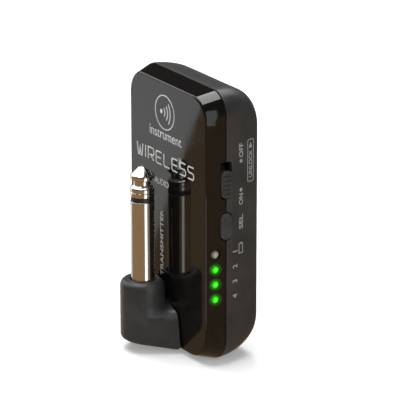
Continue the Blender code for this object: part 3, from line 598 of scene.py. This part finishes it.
def arm_field(x, depth, z):
    """Signed distance, in mm, to the arm's surface: x from the plug's axis, then depth and height."""
    collar_r, collar_z, standoff = 6.1, (1.9, PLUG_BASE_Z / MM), PLUG_STANDOFF / MM
    flat, foot_gap = 1.3, 0.3
    foot_top, foot_top_near, foot_low = 12.1, 10.4, 0.8
    half_top, half_low = 8.8, 10.4
    socket_r, socket_low, bore_r = 3.5, 5.4, 1.7
    shaft_r, shaft_end, groove, groove_r = 3.0, 4.9, (3.5, 4.5), 2.5
    swivel_z = SWIVEL_Z / MM

    r = np.hypot(x, depth + standoff)
    corner = 2.0
    qr = r - collar_r + corner
    qz = z - collar_z[1] + corner
    collar = np.minimum(np.maximum(qr, qz), 0) + np.hypot(np.maximum(qr, 0), np.maximum(qz, 0)) - corner
    collar = soft_max(collar, depth + flat, 0.7)

    t = np.clip((z - foot_low) / (foot_top - foot_low), 0, 1)
    half = half_low + (half_top - half_low) * t
    reach = standoff - foot_gap
    angle = np.arctan2(reach, half) - np.arccos(collar_r / np.hypot(reach, half))
    flank = np.abs(x) * np.cos(angle) + (depth + standoff) * np.sin(angle) - collar_r
    near = np.clip(-depth / standoff, 0, 1)
    top = z - (foot_top + (foot_top_near - foot_top) * near)
    # the underside is a plane that rises from the face to the front of the collar
    low = foot_low - (collar_z[0] - foot_low) * depth / standoff - z
    foot = soft_max(flank, top, 2.2)
    foot = soft_max(foot, depth + foot_gap, 0.35)
    foot = np.maximum(foot, collar_r * np.sin(angle) - depth - standoff)
    arm = soft_min(collar, foot, 3.2 * np.clip((z - foot_top_near + 3.0) / 3.0, 0.1, 1.0))
    arm = soft_max(arm, low, 1.5)

    swivel = np.hypot(x, z - swivel_z)
    shaft_radius = np.where((depth > groove[0]) & (depth < groove[1]), groove_r, shaft_r)
    shaft = np.maximum(np.maximum(swivel - shaft_radius, depth - shaft_end), -2 - depth)
    arm = np.minimum(arm, shaft)
    arm = soft_max(arm, -np.maximum(r - socket_r, socket_low - z), 0.5)
    return np.maximum(arm, -np.maximum(swivel - bore_r, 1 - standoff - depth))


def surface_net(field, low, high, step):
    """Quads on the zero level of a field, one point for each grid cell that the surface crosses."""
    axes = [np.arange(a, b + step, step) for a, b in zip(low, high)]
    grid = np.meshgrid(*axes, indexing="ij")
    value = field(*grid)
    cells = tuple(n - 1 for n in value.shape)
    total = np.zeros((*cells, 3))
    count = np.zeros(cells)
    corners = [(i, j, k) for i in (0, 1) for j in (0, 1) for k in (0, 1)]
    for one in corners:
        for axis in range(3):
            if one[axis]:
                continue
            two = tuple(c + (n == axis) for n, c in enumerate(one))
            cut_one = tuple(slice(c, c + m) for c, m in zip(one, cells))
            cut_two = tuple(slice(c, c + m) for c, m in zip(two, cells))
            a, b = value[cut_one], value[cut_two]
            crossed = (a < 0) != (b < 0)
            share = np.where(crossed, a / np.where(crossed, a - b, 1), 0)
            for n in range(3):
                spot = grid[n][cut_one] + (share * step if n == axis else 0)
                total[..., n] += np.where(crossed, spot, 0)
            count += crossed
    used = count > 0
    number = np.full(cells, -1)
    number[used] = np.arange(used.sum())
    points = total[used] / count[used][:, None]
    quads = []
    for axis in range(3):
        u, v = (axis + 1) % 3, (axis + 2) % 3
        first = [slice(1, m) for m in cells]
        first[axis] = slice(0, cells[axis])
        second = list(first)
        second[axis] = slice(1, cells[axis] + 1)
        a, b = value[tuple(first)], value[tuple(second)]
        for rising in (True, False):
            spots = np.argwhere((a < 0) & (b >= 0) if rising else (a >= 0) & (b < 0))
            spots = spots + np.array([0 if n == axis else 1 for n in range(3)])
            around = []
            for du, dv in ((0, 0), (-1, 0), (-1, -1), (0, -1)):
                cell = spots.copy()
                cell[:, u] += du
                cell[:, v] += dv
                around.append(number[tuple(cell.T)])
            quads.append(np.stack(around if rising else around[::-1], 1))
    return points, np.concatenate(quads)


def settle(points, field):
    """Move points onto the zero level of a field."""
    nudge = 0.01
    for _ in range(3):
        value = field(*points.T)
        slope = np.stack([(field(*(points + nudge * np.eye(3)[n]).T) - value) / nudge for n in range(3)], 1)
        steep = np.maximum((slope * slope).sum(1), 0.25)
        points = points - np.clip(value / steep, -0.1, 0.1)[:, None] * slope
    return points


def make_arm(mat):
    points, quads = surface_net(arm_field, (-11.4, -12.4, 0.3), (11.4, 5.4, 20.2), 0.2)
    points = settle(points, arm_field)
    bm = bmesh.new()
    verts = [bm.verts.new(world(PLUG_X + x * MM, y * MM, z * MM)) for x, y, z in points]
    for quad in quads:
        bm.faces.new([verts[i] for i in quad])
    arm = mesh_object("plug_arm_moulding", bm, mat, 50)
    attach(arm, "plug_swivel")
    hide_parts("plug_arm")


# ---- the plug ----
def eased(profile, radius, steps=3):
    """Round the corners of a (radius, height) profile, which is left as it is on the axis."""
    made = []
    for i, here in enumerate(profile):
        closed = profile[0][0] > 0
        if not closed and i in (0, len(profile) - 1):
            made.append(here)
            continue
        before, after = Vector(profile[i - 1]), Vector(profile[(i + 1) % len(profile)])
        here = Vector(here)
        to_before, to_after = before - here, after - here
        cut = min(radius, to_before.length * 0.45, to_after.length * 0.45)
        one, two = here + to_before.normalized() * cut, here + to_after.normalized() * cut
        for s in range(steps + 1):
            t = s / steps
            made.append(tuple(one * (1 - t) ** 2 + here * 2 * t * (1 - t) + two * t ** 2))
    return made


def make_plug(metal, plastic):
    axis = (PLUG_X, PLUG_Y, 0)
    flange_top = PLUG_BASE_Z - 0.6 * MM
    flange_r = 3.45 * MM
    bore = 2.1 * MM
    top = SLEEVE_HIGH.z
    low = SLEEVE_LOW.z
    flange_low = flange_top - 2.4 * MM
    sleeve = eased([(bore, top), (PLUG_R, top), (PLUG_R, flange_top), (flange_r, flange_top),
                    (flange_r, flange_low), (PLUG_R, flange_low), (PLUG_R, low), (bore, low)], 0.16 * MM)
    ring_low, ring_high = RING_HIGH.z - RING_H + 0.02 * MM, RING_HIGH.z
    ring_r, rod = PLUG_R - 0.1 * MM, 1.2 * MM
    tube, hole = bore - 0.1 * MM, rod + 0.1 * MM
    ring = eased([(hole, ring_high), (ring_r, ring_high), (ring_r, ring_low), (tube, ring_low),
                  (tube, RING_LOW.z), (hole, RING_LOW.z)], 0.08 * MM)
    peak = TIP_HIGH.z
    base = ring_high + 0.04 * MM
    line, line_deep = peak - 6.8 * MM, 0.12 * MM     # fine turned line round the tip
    tip = [(0, peak), (0.74 * MM, peak), (PLUG_R - 0.12 * MM, peak - 2.15 * MM), (PLUG_R, peak - 2.4 * MM),
           (PLUG_R, peak - 3.3 * MM), (PLUG_R - 0.12 * MM, peak - 3.45 * MM),
           (TIP_NECK_R, peak - 3.7 * MM), (TIP_NECK_R - 0.1 * MM, peak - 4.9 * MM),
           (TIP_NECK_R + 0.25 * MM, peak - 5.25 * MM), (PLUG_R - 0.1 * MM, peak - 5.6 * MM),
           (PLUG_R, peak - 5.85 * MM), (PLUG_R, line + line_deep), (PLUG_R - line_deep, line),
           (PLUG_R, line - line_deep), (PLUG_R, base), (rod, base), (rod, TIP_LOW.z), (0, TIP_LOW.z)]
    for name, profile, mat, node, slot in (
            ("jack_sleeve", sleeve, metal, "plug_sleeve", "plug_nickel"),
            ("jack_ring", ring, plastic, "plug_insulator", "black_plastic"),
            ("jack_tip", eased(tip, 0.16 * MM, 5), metal, "plug_tip", "plug_nickel")):
        piece = mesh_object(name, lathe(profile, axis, "Z", 128), mat, 40)
        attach(piece, "plug_swivel")
        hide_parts(node)


# ---- controls ----
def make_knob(mat):
    """Ribbed slider: sections across it, stacked up its length."""
    corner, edge, groove, groove_half = 1.1 * MM, 0.28 * MM, 0.3 * MM, 0.36 * MM
    low, high = KNOB_Z
    length = high - low
    foot_x = BODY_W / 2 - 2.6 * MM
    rings = []
    steps = 130
    for i in range(steps + 1):
        z = lerp(low, high, i / steps)
        from_end = min(z - low, high - z)
        bite = max(corner - from_end, 0.0)
        half = KNOB_W / 2 - (corner - math.sqrt(max(corner ** 2 - bite ** 2, 0.0)))
        end_bite = max(edge - from_end, 0.0)
        drop = edge - math.sqrt(max(edge ** 2 - end_bite ** 2, 0.0))
        phase = ((z - low) / length * (KNOB_GROOVES + 1)) % 1.0
        near_groove = abs(phase - round(phase)) * length / (KNOB_GROOVES + 1)
        inner = corner * 0.8 < from_end
        bowl = max(0.0, 1 - (near_groove / groove_half) ** 2) if inner else 0.0
        face = CONTROL_FACE - drop - groove * math.sqrt(bowl)
        across = [(foot_x, -half), (face - edge, -half)]
        across += [(face - edge + edge * math.sin(a), -half + edge * (1 - math.cos(a)))
                   for a in turns(90, 6, 1)]
        across += [(x, -y) for x, y in reversed(across)]
        rings.append([world(x, CONTROL_DEPTH + y, z) for x, y in across])
    knob = mesh_object("ribbed_power_knob", loft(rings), mat, 40)
    body = BODY_W / 2
    flange = box((body - 4.7 * MM, body - 3.6 * MM), (CONTROL_DEPTH - 1.8 * MM, CONTROL_DEPTH + 1.7 * MM),
                 (low - 0.2 * MM, high + 0.4 * MM))
    stem = box((body - 4.0 * MM, body - 2.2 * MM), (CONTROL_DEPTH - 1.2 * MM, CONTROL_DEPTH + 1.2 * MM),
               (low + 1 * MM, high - 1 * MM))
    lever = box((body - 6.6 * MM, body - 4.2 * MM), (CONTROL_DEPTH - 0.5 * MM, CONTROL_DEPTH + 0.5 * MM),
                (low + 2.6 * MM, low + 4.6 * MM))
    carve(knob, [mesh_object("join", bm) for bm in (flange, stem, lever)], "UNION")
    knob.data.set_sharp_from_angle(angle=math.radians(40))
    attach(knob, "power_slider")
    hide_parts("power_switch_knob")


def make_button(mat):
    """Stadium-shaped cap with a soft rim and a slightly crowned face."""
    rim, crown = 0.45 * MM, 0.12 * MM
    foot_x = BODY_W / 2 - 3.4 * MM
    steps = [(foot_x, 0.0), (CONTROL_FACE - crown - rim, 0.0)]
    steps += [(CONTROL_FACE - crown - rim + rim * math.sin(a), rim * (1 - math.cos(a)))
              for a in turns(90, 9, 1)]
    steps += [(CONTROL_FACE - crown * (1 - t), rim + (BUTTON_W / 2 - rim) * 0.9 * t ** 0.5)
              for t in (0.25, 0.5, 0.75, 1.0)]
    rings = []
    for x, inset in steps:
        half = BUTTON_W / 2 - inset
        ring = rounded_ring(half, BUTTON_L / 2 - inset, half - 0.002 * MM, 14)
        rings.append(side_ring(x, CONTROL_DEPTH, BUTTON_Z, ring))
    button = mesh_object("select_button_cap", loft(rings), mat, 40)
    flange_half = BUTTON_W / 2 + 0.2 * MM
    ring = rounded_ring(flange_half, BUTTON_L / 2 + 1 * MM, flange_half - 0.01 * MM, 10)
    flange_x = (15.7 * MM, 16.8 * MM)
    flange = loft([side_ring(x, CONTROL_DEPTH, BUTTON_Z, ring) for x in flange_x])
    stem_x, stem_l, stem_r = 15.05 * MM, 1.2 * MM, 0.9 * MM
    stem = lathe([(0, stem_l), (stem_r, stem_l), (stem_r, 0), (0, 0)],
                 world(stem_x, CONTROL_DEPTH, BUTTON_Z), "X", 40)
    carve(button, [mesh_object("join", flange), mesh_object("join", stem)], "UNION")
    button.data.set_sharp_from_angle(angle=math.radians(40))
    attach(button, "select_key")
    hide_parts("select_button")


def make_lamps(clear, green):
    for number in range(1, LAMP_COUNT + 1):
        centre = lamp_centre(number)
        leg_low, leg_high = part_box(f"light_pipe_{number}")
        dome = [(LAMP_R * math.sin(a), 0.12 * MM - 0.28 * MM * (1 - math.cos(a)))
                for a in turns(90, 12)]
        inner = leg_low.x - centre.x + 0.4 * MM
        profile = dome + [(LAMP_R, inner), (0, inner)]
        mat = clear if number == 1 else green
        pipe = mesh_object(f"lamp_pipe_{number}", lathe(profile, centre, "X", 72), mat, 50)
        leg = box((leg_low.x, leg_low.x + 2.0 * MM), (LAMP_DEPTH - 0.7 * MM, leg_high.y - FACE_Y),
                  (centre.z - 0.8 * MM, centre.z + 0.8 * MM))
        carve(pipe, [mesh_object("join", leg)], "UNION")
        pipe.data.set_sharp_from_angle(angle=math.radians(50))
        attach(pipe, "housing")
        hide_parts(f"light_pipe_{number}")


def make_port(mat):
    """Drawn steel shell with a rolled mouth."""
    half_y, half_z = (PORT_HIGH.y - PORT_LOW.y) / 2, (PORT_HIGH.z - PORT_LOW.z) / 2
    wall, deep, mouth_r = 0.3 * MM, 5.0 * MM, 0.15 * MM
    x = PORT_LOW.x
    steps = [(PORT_HIGH.x, 0.0), (x + mouth_r, 0.0)]
    steps += [(x + mouth_r * (1 - math.sin(a)), mouth_r * (1 - math.cos(a))) for a in turns(180, 10, 1)]
    steps += [(x + deep, wall)]
    rings = []
    for at, inset in steps:
        ring = rounded_ring(half_y - inset, half_z - inset, PORT_CORNER - inset, 8)
        rings.append(side_ring(at, PORT_DEPTH, PORT_Z, ring))
    port = mesh_object("port_shell", loft(rings), mat, 40)
    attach(port, "housing")
    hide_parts("charging_port_shell")


# ---- printing ----
INK_T = 0.02 * MM
SIDE_TILT = math.atan2(BACK_TAPER_X, REAR_RUN)
SIDE_NORMAL = Vector((math.cos(SIDE_TILT), math.sin(SIDE_TILT), 0))
SIDE_FORWARD = Vector((math.sin(SIDE_TILT), -math.cos(SIDE_TILT), 0))


def frame_matrix(origin, right, up, normal):
    matrix = Matrix((right, up, normal)).transposed().to_4x4()
    matrix.translation = origin
    return matrix


def on_front(x, z, upright=True):
    """Where a print goes on the gloss face, level or reading upwards."""
    across, above = Vector((1, 0, 0)), Vector((0, 0, 1))
    right, up = (across, above) if upright else (above, -across)
    return frame_matrix(world(x, -INK_T, z), right, up, Vector((0, -1, 0)))


def on_side(depth, z, side=1):
    """Where a print goes on the matte side, reading upwards."""
    half = outline(depth)[0]
    mirror = Vector((side, 1, 1))
    normal = SIDE_NORMAL * mirror
    origin = world(half * side, depth, z) + normal * INK_T
    up = SIDE_FORWARD * mirror * side
    return frame_matrix(origin, Vector((0, 0, 1)), up, normal)


def print_object(name, bm, place, mat):
    """Give flat shapes the thickness of ink and put them on the housing."""
    faces = list(bm.faces)
    made = bmesh.ops.extrude_face_region(bm, geom=faces)["geom"]
    below = [v for v in made if isinstance(v, bmesh.types.BMVert)]
    bmesh.ops.translate(bm, verts=below, vec=(0, 0, -1.5 * INK_T))
    bmesh.ops.transform(bm, verts=bm.verts, matrix=place)
    piece = mesh_object(name, bm, mat, 30)
    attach(piece, "housing")
    return piece


def words(name, text, height, width, place, mat, weight=0.0):
    """Plain lettering of a height, centred, and squeezed to a width unless that is None."""
    curve = bpy.data.curves.new(name, "FONT")
    curve.body = text
    curve.align_x, curve.align_y = "CENTER", "CENTER"
    curve.resolution_u = 4
    curve.offset = weight
    obj = bpy.data.objects.new(name, curve)
    bpy.context.scene.collection.objects.link(obj)
    graph = bpy.context.evaluated_depsgraph_get()
    mesh = bpy.data.meshes.new_from_object(obj.evaluated_get(graph))
    bpy.data.objects.remove(obj)
    bm = bmesh.new()
    bm.from_mesh(mesh)
    bmesh.ops.remove_doubles(bm, verts=bm.verts, dist=1e-5)
    xs, ys = [v.co.x for v in bm.verts], [v.co.y for v in bm.verts]
    tall, wide = max(ys) - min(ys), max(xs) - min(xs)
    scale_y = height / tall
    scale_x = width / wide if width else scale_y
    middle = Vector(((max(xs) + min(xs)) / 2, (max(ys) + min(ys)) / 2, 0))
    bmesh.ops.translate(bm, verts=bm.verts, vec=-middle)
    bmesh.ops.scale(bm, verts=bm.verts, vec=(scale_x, scale_y, 1))
    return print_object(name, bm, place, mat)


def ribbon(bm, points, width, closed=False):
    """A flat stroke along points, mitred at its corners."""
    points = [Vector(p) for p in points]
    count = len(points)
    sides = []
    for i, here in enumerate(points):
        before = points[i - 1] if closed or i else None
        after = points[(i + 1) % count] if closed or i < count - 1 else None
        into = (here - before).normalized() if before is not None else (after - here).normalized()
        out = (after - here).normalized() if after is not None else into
        normal = Vector((-into.y - out.y, into.x + out.x)).normalized()
        reach = width / 2 / max(normal.dot(Vector((-into.y, into.x))), 0.35)
        sides.append([bm.verts.new((*(here + normal * reach * s), 0)) for s in (1, -1)])
    for i in range(count if closed else count - 1):
        one, two = sides[i], sides[(i + 1) % count]
        bm.faces.new((one[0], one[1], two[1], two[0]))


def disc(bm, centre, radius):
    bm.faces.new([bm.verts.new((x, y, 0)) for x, y in arc(*centre, radius, 0, 345, 23)])


# Strokes of wide round-cornered capitals, in a box one unit wide and one unit tall.
STROKES = {
    "W": [((0, 1), (0.16, 0), (0.34, 0), (0.5, 0.7), (0.66, 0), (0.84, 0), (1, 1))],
    "I": [((0.5, 0), (0.5, 1))],
    "R": [((0, 0), (0, 1), (0.85, 1), (1, 0.88), (1, 0.52), (0.85, 0.4), (0.22, 0.4)),
          ((0.5, 0.33), (1, 0))],
    "E": [((1, 0), (0.15, 0), (0, 0.12), (0, 0.88), (0.15, 1), (1, 1)), ((0.14, 0.5), (0.9, 0.5))],
    "L": [((0, 1), (0, 0.12), (0.15, 0), (1, 0))],
    "S": [((0, 0), (0.85, 0), (1, 0.12), (1, 0.4), (0.85, 0.52), (0.15, 0.52), (0, 0.64), (0, 0.88),
           (0.15, 1), (1, 1))],
}


def stroke_word(name, text, height, width, stroke, place, mat):
    """A word in the stroke capitals, centred and set to a width."""
    letter, space, thin = 1.0, 0.42, 0.14
    spans = [thin if c == "I" else letter for c in text]
    unit = width / (sum(spans) + space * (len(text) - 1))
    bm = bmesh.new()
    x = -width / 2
    for c, span in zip(text, spans):
        for line in STROKES[c]:
            across = [(x + unit * (span / 2 if c == "I" else px), (py - 0.5) * height) for px, py in line]
            ribbon(bm, across, stroke)
        x += unit * (span + space)
    return print_object(name, bm, place, mat)


def make_front_printing(mat):
    """A plain round radio-wave sign and generic words."""
    bm = bmesh.new()
    ribbon(bm, arc(0, 0, 4.6 * MM, 0, 360 - 360 / 72, 71), 0.32 * MM, closed=True)
    disc(bm, (-1.7 * MM, 0), 0.62 * MM)
    for radius in (1.8, 3.1, 4.4):
        ribbon(bm, arc(-1.7 * MM, 0, radius * MM, -38, 38, 16), 0.42 * MM)
    print_object("print_wave_sign", bm, on_front(-1.3 * MM, 65.0 * MM), mat)
    words("print_instrument", "instrument", 2.5 * MM, 15.6 * MM, on_front(-1.0 * MM, 58.8 * MM), mat)
    stroke_word("print_wireless", "WIRELESS", 3.3 * MM, 27.8 * MM, 0.42 * MM,
                on_front(-1.2 * MM, 51.9 * MM), mat)
    words("print_audio", "AUDIO", 1.7 * MM, 7.0 * MM, on_front(-3.1 * MM, 45.4 * MM), mat, 0.01)
    words("print_transmitter", "TRANSMITTER", 1.5 * MM, 18.4 * MM,
          on_front(-3.1 * MM, 28.5 * MM, upright=False), mat, 0.01)


def battery_sign():
    """Outline of a battery with its contact."""
    bm = bmesh.new()
    half, side, line = 1.3 * MM, 0.675 * MM, 0.22 * MM
    ribbon(bm, ((-half, -side), (half, -side), (half, side), (-half, side)), line, closed=True)
    ribbon(bm, ((half + 0.26 * MM, -side * 0.4), (half + 0.26 * MM, side * 0.4)), line)
    return bm


def make_side_printing(mat):
    """Legends beside the lamps, the button, the slider and the port."""
    column, frame_column = 10.5 * MM, 13.9 * MM
    for number in range(1, LAMP_COUNT + 1):
        z = lamp_centre(number).z - 0.15 * MM
        words(f"print_lamp_{number}", str(number), 1.7 * MM, None, on_side(8.43 * MM, z), mat, 0.02)
    legends = (("sel", 38.95 * MM, 3.9 * MM), ("on", 45.15 * MM, 3.1 * MM), ("off", 58.45 * MM, 3.8 * MM))
    for text, z, width in legends:
        words(f"print_{text}", text.upper(), 1.45 * MM, width, on_side(column, z), mat, 0.02)
    for name, z in (("on", 47.7 * MM), ("off", 55.55 * MM)):
        bm = bmesh.new()
        disc(bm, (0, 0), 0.5 * MM)
        print_object(f"print_dot_{name}", bm, on_side(column, z), mat)
    print_object("print_battery", battery_sign(), on_side(column, 31.65 * MM), mat)
    bm = bmesh.new()
    ribbon(bm, rounded_ring(5.7 * MM, 1.05 * MM, 0.45 * MM, 5), 0.2 * MM, closed=True)
    tip, back, wide = 4.95 * MM, 3.45 * MM, 0.62 * MM
    bm.faces.new([bm.verts.new(p) for p in ((tip, 0, 0), (back, wide, 0), (back, -wide, 0))])
    print_object("print_unlock_frame", bm, on_side(frame_column, 54.95 * MM), mat)
    words("print_unlock", "UNLOCK", 1.2 * MM, 7.4 * MM, on_side(frame_column, 54.05 * MM), mat, 0.015)
    print_object("print_charge", battery_sign(), on_side(9.9 * MM, PORT_Z, side=-1), mat)


# ---- camera, floor and light ----
CAMERA_AZIMUTH, CAMERA_ELEVATION = 57.28, 19.16
CAMERA_DISTANCE = 0.80187
CAMERA_TARGET = world(-4.109 * MM, 15.827 * MM, 34.36 * MM)


def direction(azimuth, elevation):
    """Unit vector: azimuth 0 is towards -Y and 90 towards +X."""
    a, e = math.radians(azimuth), math.radians(elevation)
    return Vector((math.sin(a) * math.cos(e), -math.cos(a) * math.cos(e), math.sin(e)))


def make_camera():
    data = bpy.data.cameras.new("camera")
    data.sensor_width = 36
    data.lens = 257.14
    data.clip_start, data.clip_end = 0.01, 20
    camera = bpy.data.objects.new("camera", data)
    bpy.context.scene.collection.objects.link(camera)
    back = direction(CAMERA_AZIMUTH, CAMERA_ELEVATION)
    camera.location = CAMERA_TARGET + back * CAMERA_DISTANCE
    camera.rotation_euler = (-back).to_track_quat("-Z", "Y").to_euler()
    bpy.context.scene.camera = camera


def make_floor():
    """Pale matt sweep; reflections on the object come from the studio round it instead."""
    mat = new_material("floor", (0.9, 0.9, 0.9), 0.6, specular=0.2)
    tone = mixed(mat, noise(mat, 40 * MM, 4), (0.88, 0.88, 0.88), (0.92, 0.92, 0.92))
    plug_in(mat, tone, "Base Color")
    plug_in(mat, tone, "Emission Color")
    principled(mat).inputs["Emission Strength"].default_value = 0.3
    bm = bmesh.new()
    bmesh.ops.create_circle(bm, cap_ends=True, radius=6.0, segments=96)
    floor = mesh_object("floor", bm, mat)
    floor.visible_glossy = False


def softbox(name, azimuth, elevation, distance, size, radiance):
    """An area light that faces the object and isn't reflected; radiance is the brightness of its surface."""
    data = bpy.data.lights.new(name, "AREA")
    data.shape = "RECTANGLE"
    data.size, data.size_y = size
    data.energy = radiance * math.pi * size[0] * size[1]
    light = bpy.data.objects.new(name, data)
    bpy.context.scene.collection.objects.link(light)
    back = direction(azimuth, elevation)
    light.location = Vector((0, 0, 35 * MM)) + back * distance
    light.rotation_euler = (-back).to_track_quat("-Z", "Y").to_euler()
    light.visible_camera = light.visible_glossy = False


def card(name, corners, strength):
    """A studio card that only reflections see."""
    mat = bpy.data.materials.new(name)
    mat.use_nodes = True
    nodes, links = mat.node_tree.nodes, mat.node_tree.links
    nodes.clear()
    emission = nodes.new("ShaderNodeEmission")
    emission.inputs["Color"].default_value = (1, 1, 1, 1)
    emission.inputs["Strength"].default_value = strength
    links.new(emission.outputs[0], nodes.new("ShaderNodeOutputMaterial").inputs["Surface"])
    bm = bmesh.new()
    bm.faces.new([bm.verts.new(p) for p in corners])
    obj = mesh_object(name, bm, mat)
    obj.visible_camera = obj.visible_diffuse = obj.visible_shadow = False
    obj.visible_transmission = obj.visible_volume_scatter = False


def make_world():
    """Dark above the horizon, warm brown below it."""
    world_data = bpy.data.worlds.new("studio")
    bpy.context.scene.world = world_data
    world_data.use_nodes = True
    nodes, links = world_data.node_tree.nodes, world_data.node_tree.links
    background = nodes["Background"]
    coords = nodes.new("ShaderNodeTexCoord")
    split = nodes.new("ShaderNodeSeparateXYZ")
    ramp = nodes.new("ShaderNodeValToRGB")
    links.new(coords.outputs["Generated"], split.inputs[0])
    shift = nodes.new("ShaderNodeMapRange")
    shift.inputs["From Min"].default_value = -1
    links.new(split.outputs["Z"], shift.inputs["Value"])
    links.new(shift.outputs["Result"], ramp.inputs["Fac"])
    ramp.color_ramp.elements[0].position = 0.44
    ramp.color_ramp.elements[0].color = (0.32, 0.215, 0.122, 1)
    ramp.color_ramp.elements[1].position = 0.53
    ramp.color_ramp.elements[1].color = (0.05, 0.05, 0.052, 1)
    links.new(ramp.outputs["Color"], background.inputs["Color"])


def make_light():
    """Softboxes light the matte surfaces; each card is what one polished surface mirrors."""
    softbox("overhead", 270, 77, 1.05, (0.95, 1.05), 5.5)
    softbox("right_side", 90, 38, 1.0, (0.5, 0.56), 1.6)
    softbox("front_fill", 20, 35, 1.2, (0.8, 0.6), 1.6)
    # the large diffuser above, and two cards behind and to the left for the bevels and the collar
    ceiling = ((-0.75, -0.62), (0.30, -0.62), (0.30, 0.48), (-0.75, 0.48))
    card("overhead_card", [(x, y, 1.08) for x, y in ceiling], 6.0)
    behind = ((-0.72, 0.55), (-0.12, 0.55), (-0.12, 1.0), (-0.72, 1.0))
    card("back_card", [(x, 0.72, z) for x, z in behind], 4.5)
    left = [(-0.18, -0.63, 0.62), (-0.22, -0.18, 0.88), (-0.88, 0.04, 0.24), (-0.78, -0.46, 0.22)]
    card("left_card", left, 2.5)
    # the pale right part of the front face; its slanted left edge is the line where the face goes dark
    away = 150 * MM
    toward, across = Vector((-0.841, -0.541, 0)), Vector((-0.541, 0.841, 0))
    drop = 0.347 * away
    low_u, low_v = 4.6 * MM, 29.6 * MM - drop
    high_u, high_v = -6.2 * MM, 61.2 * MM - drop
    slope = (high_u - low_u) / (high_v - low_v)
    bottom, top, right = -90 * MM, 70 * MM, 90 * MM
    outline = ((low_u + slope * (bottom - low_v), bottom), (right, bottom), (right, top),
               (low_u + slope * (top - low_v), top))
    card("face_card", [toward * away + across * u + Vector((0, 0, v)) for u, v in outline], 1.0)
    # the bright patch on the upper corner, and the white stripe on the plug
    corner = ((-5.6 * MM, 86.8 * MM), (-9.3 * MM, 92.8 * MM), (-16 * MM, 57.4 * MM), (-0.3 * MM, 58.4 * MM))
    card("corner_card", [(45 * MM, y, z) for y, z in corner], 1.3)
    strip = ((-12.8 * MM, 10 * MM), (-4.2 * MM, 10 * MM), (-4.2 * MM, 46 * MM), (-12.8 * MM, 46 * MM))
    card("plug_card", [(19.5 * MM, y, z) for y, z in strip], 2.2)


def finish_inner_nodes(finishes):
    """Every CAD node that still shows takes its slot's finish."""
    slots = {row["node"]: row["material_slot"] for row in frame["record"]["subparts"]}
    for name, node in frame["nodes"].items():
        node.data.materials.clear()
        node.data.materials.append(finishes[slots[name]])


def main():
    dark = (0.042, 0.041, 0.040)
    finishes = {
        "cover_gloss": gloss_plastic(),
        "housing_matte": matte_plastic(),
        "control_plastic": matte_plastic("control_plastic", dark, 0.38),
        "black_plastic": plain_plastic("black_plastic", (0.014, 0.014, 0.014), 0.4),
        "plug_nickel": nickel(),
        "steel": pressed_steel(),
        "white_plastic": plain_plastic("white_plastic", (0.72, 0.72, 0.69), 0.45),
        "lamp_clear": lamp_material("lamp_clear", (0.42, 0.42, 0.40), (0.10, 0.10, 0.095), 0.08),
        "lamp_green": lamp_material("lamp_green", (0.06, 0.80, 0.02), (0.004, 0.16, 0.002), 0.9),
        "board": circuit_board(),
        "battery_foil": pouch_foil(),
        "wire_red": plain_plastic("wire_red", (0.42, 0.02, 0.02), 0.4),
        "wire_black": plain_plastic("wire_black", (0.012, 0.012, 0.012), 0.42),
    }
    finish_inner_nodes(finishes)
    make_cover(finishes["cover_gloss"])
    make_shell(finishes["housing_matte"])
    make_arm(finishes["housing_matte"])
    make_plug(finishes["plug_nickel"], finishes["black_plastic"])
    make_knob(finishes["control_plastic"])
    make_button(finishes["control_plastic"])
    make_lamps(finishes["lamp_clear"], finishes["lamp_green"])
    make_port(finishes["steel"])
    make_front_printing(printed_ink("front_ink", 0.58))
    make_side_printing(printed_ink("side_ink", 0.34))
    make_camera()
    make_floor()
    make_world()
    make_light()
    bpy.context.scene.view_settings.view_transform = "Standard"


main()
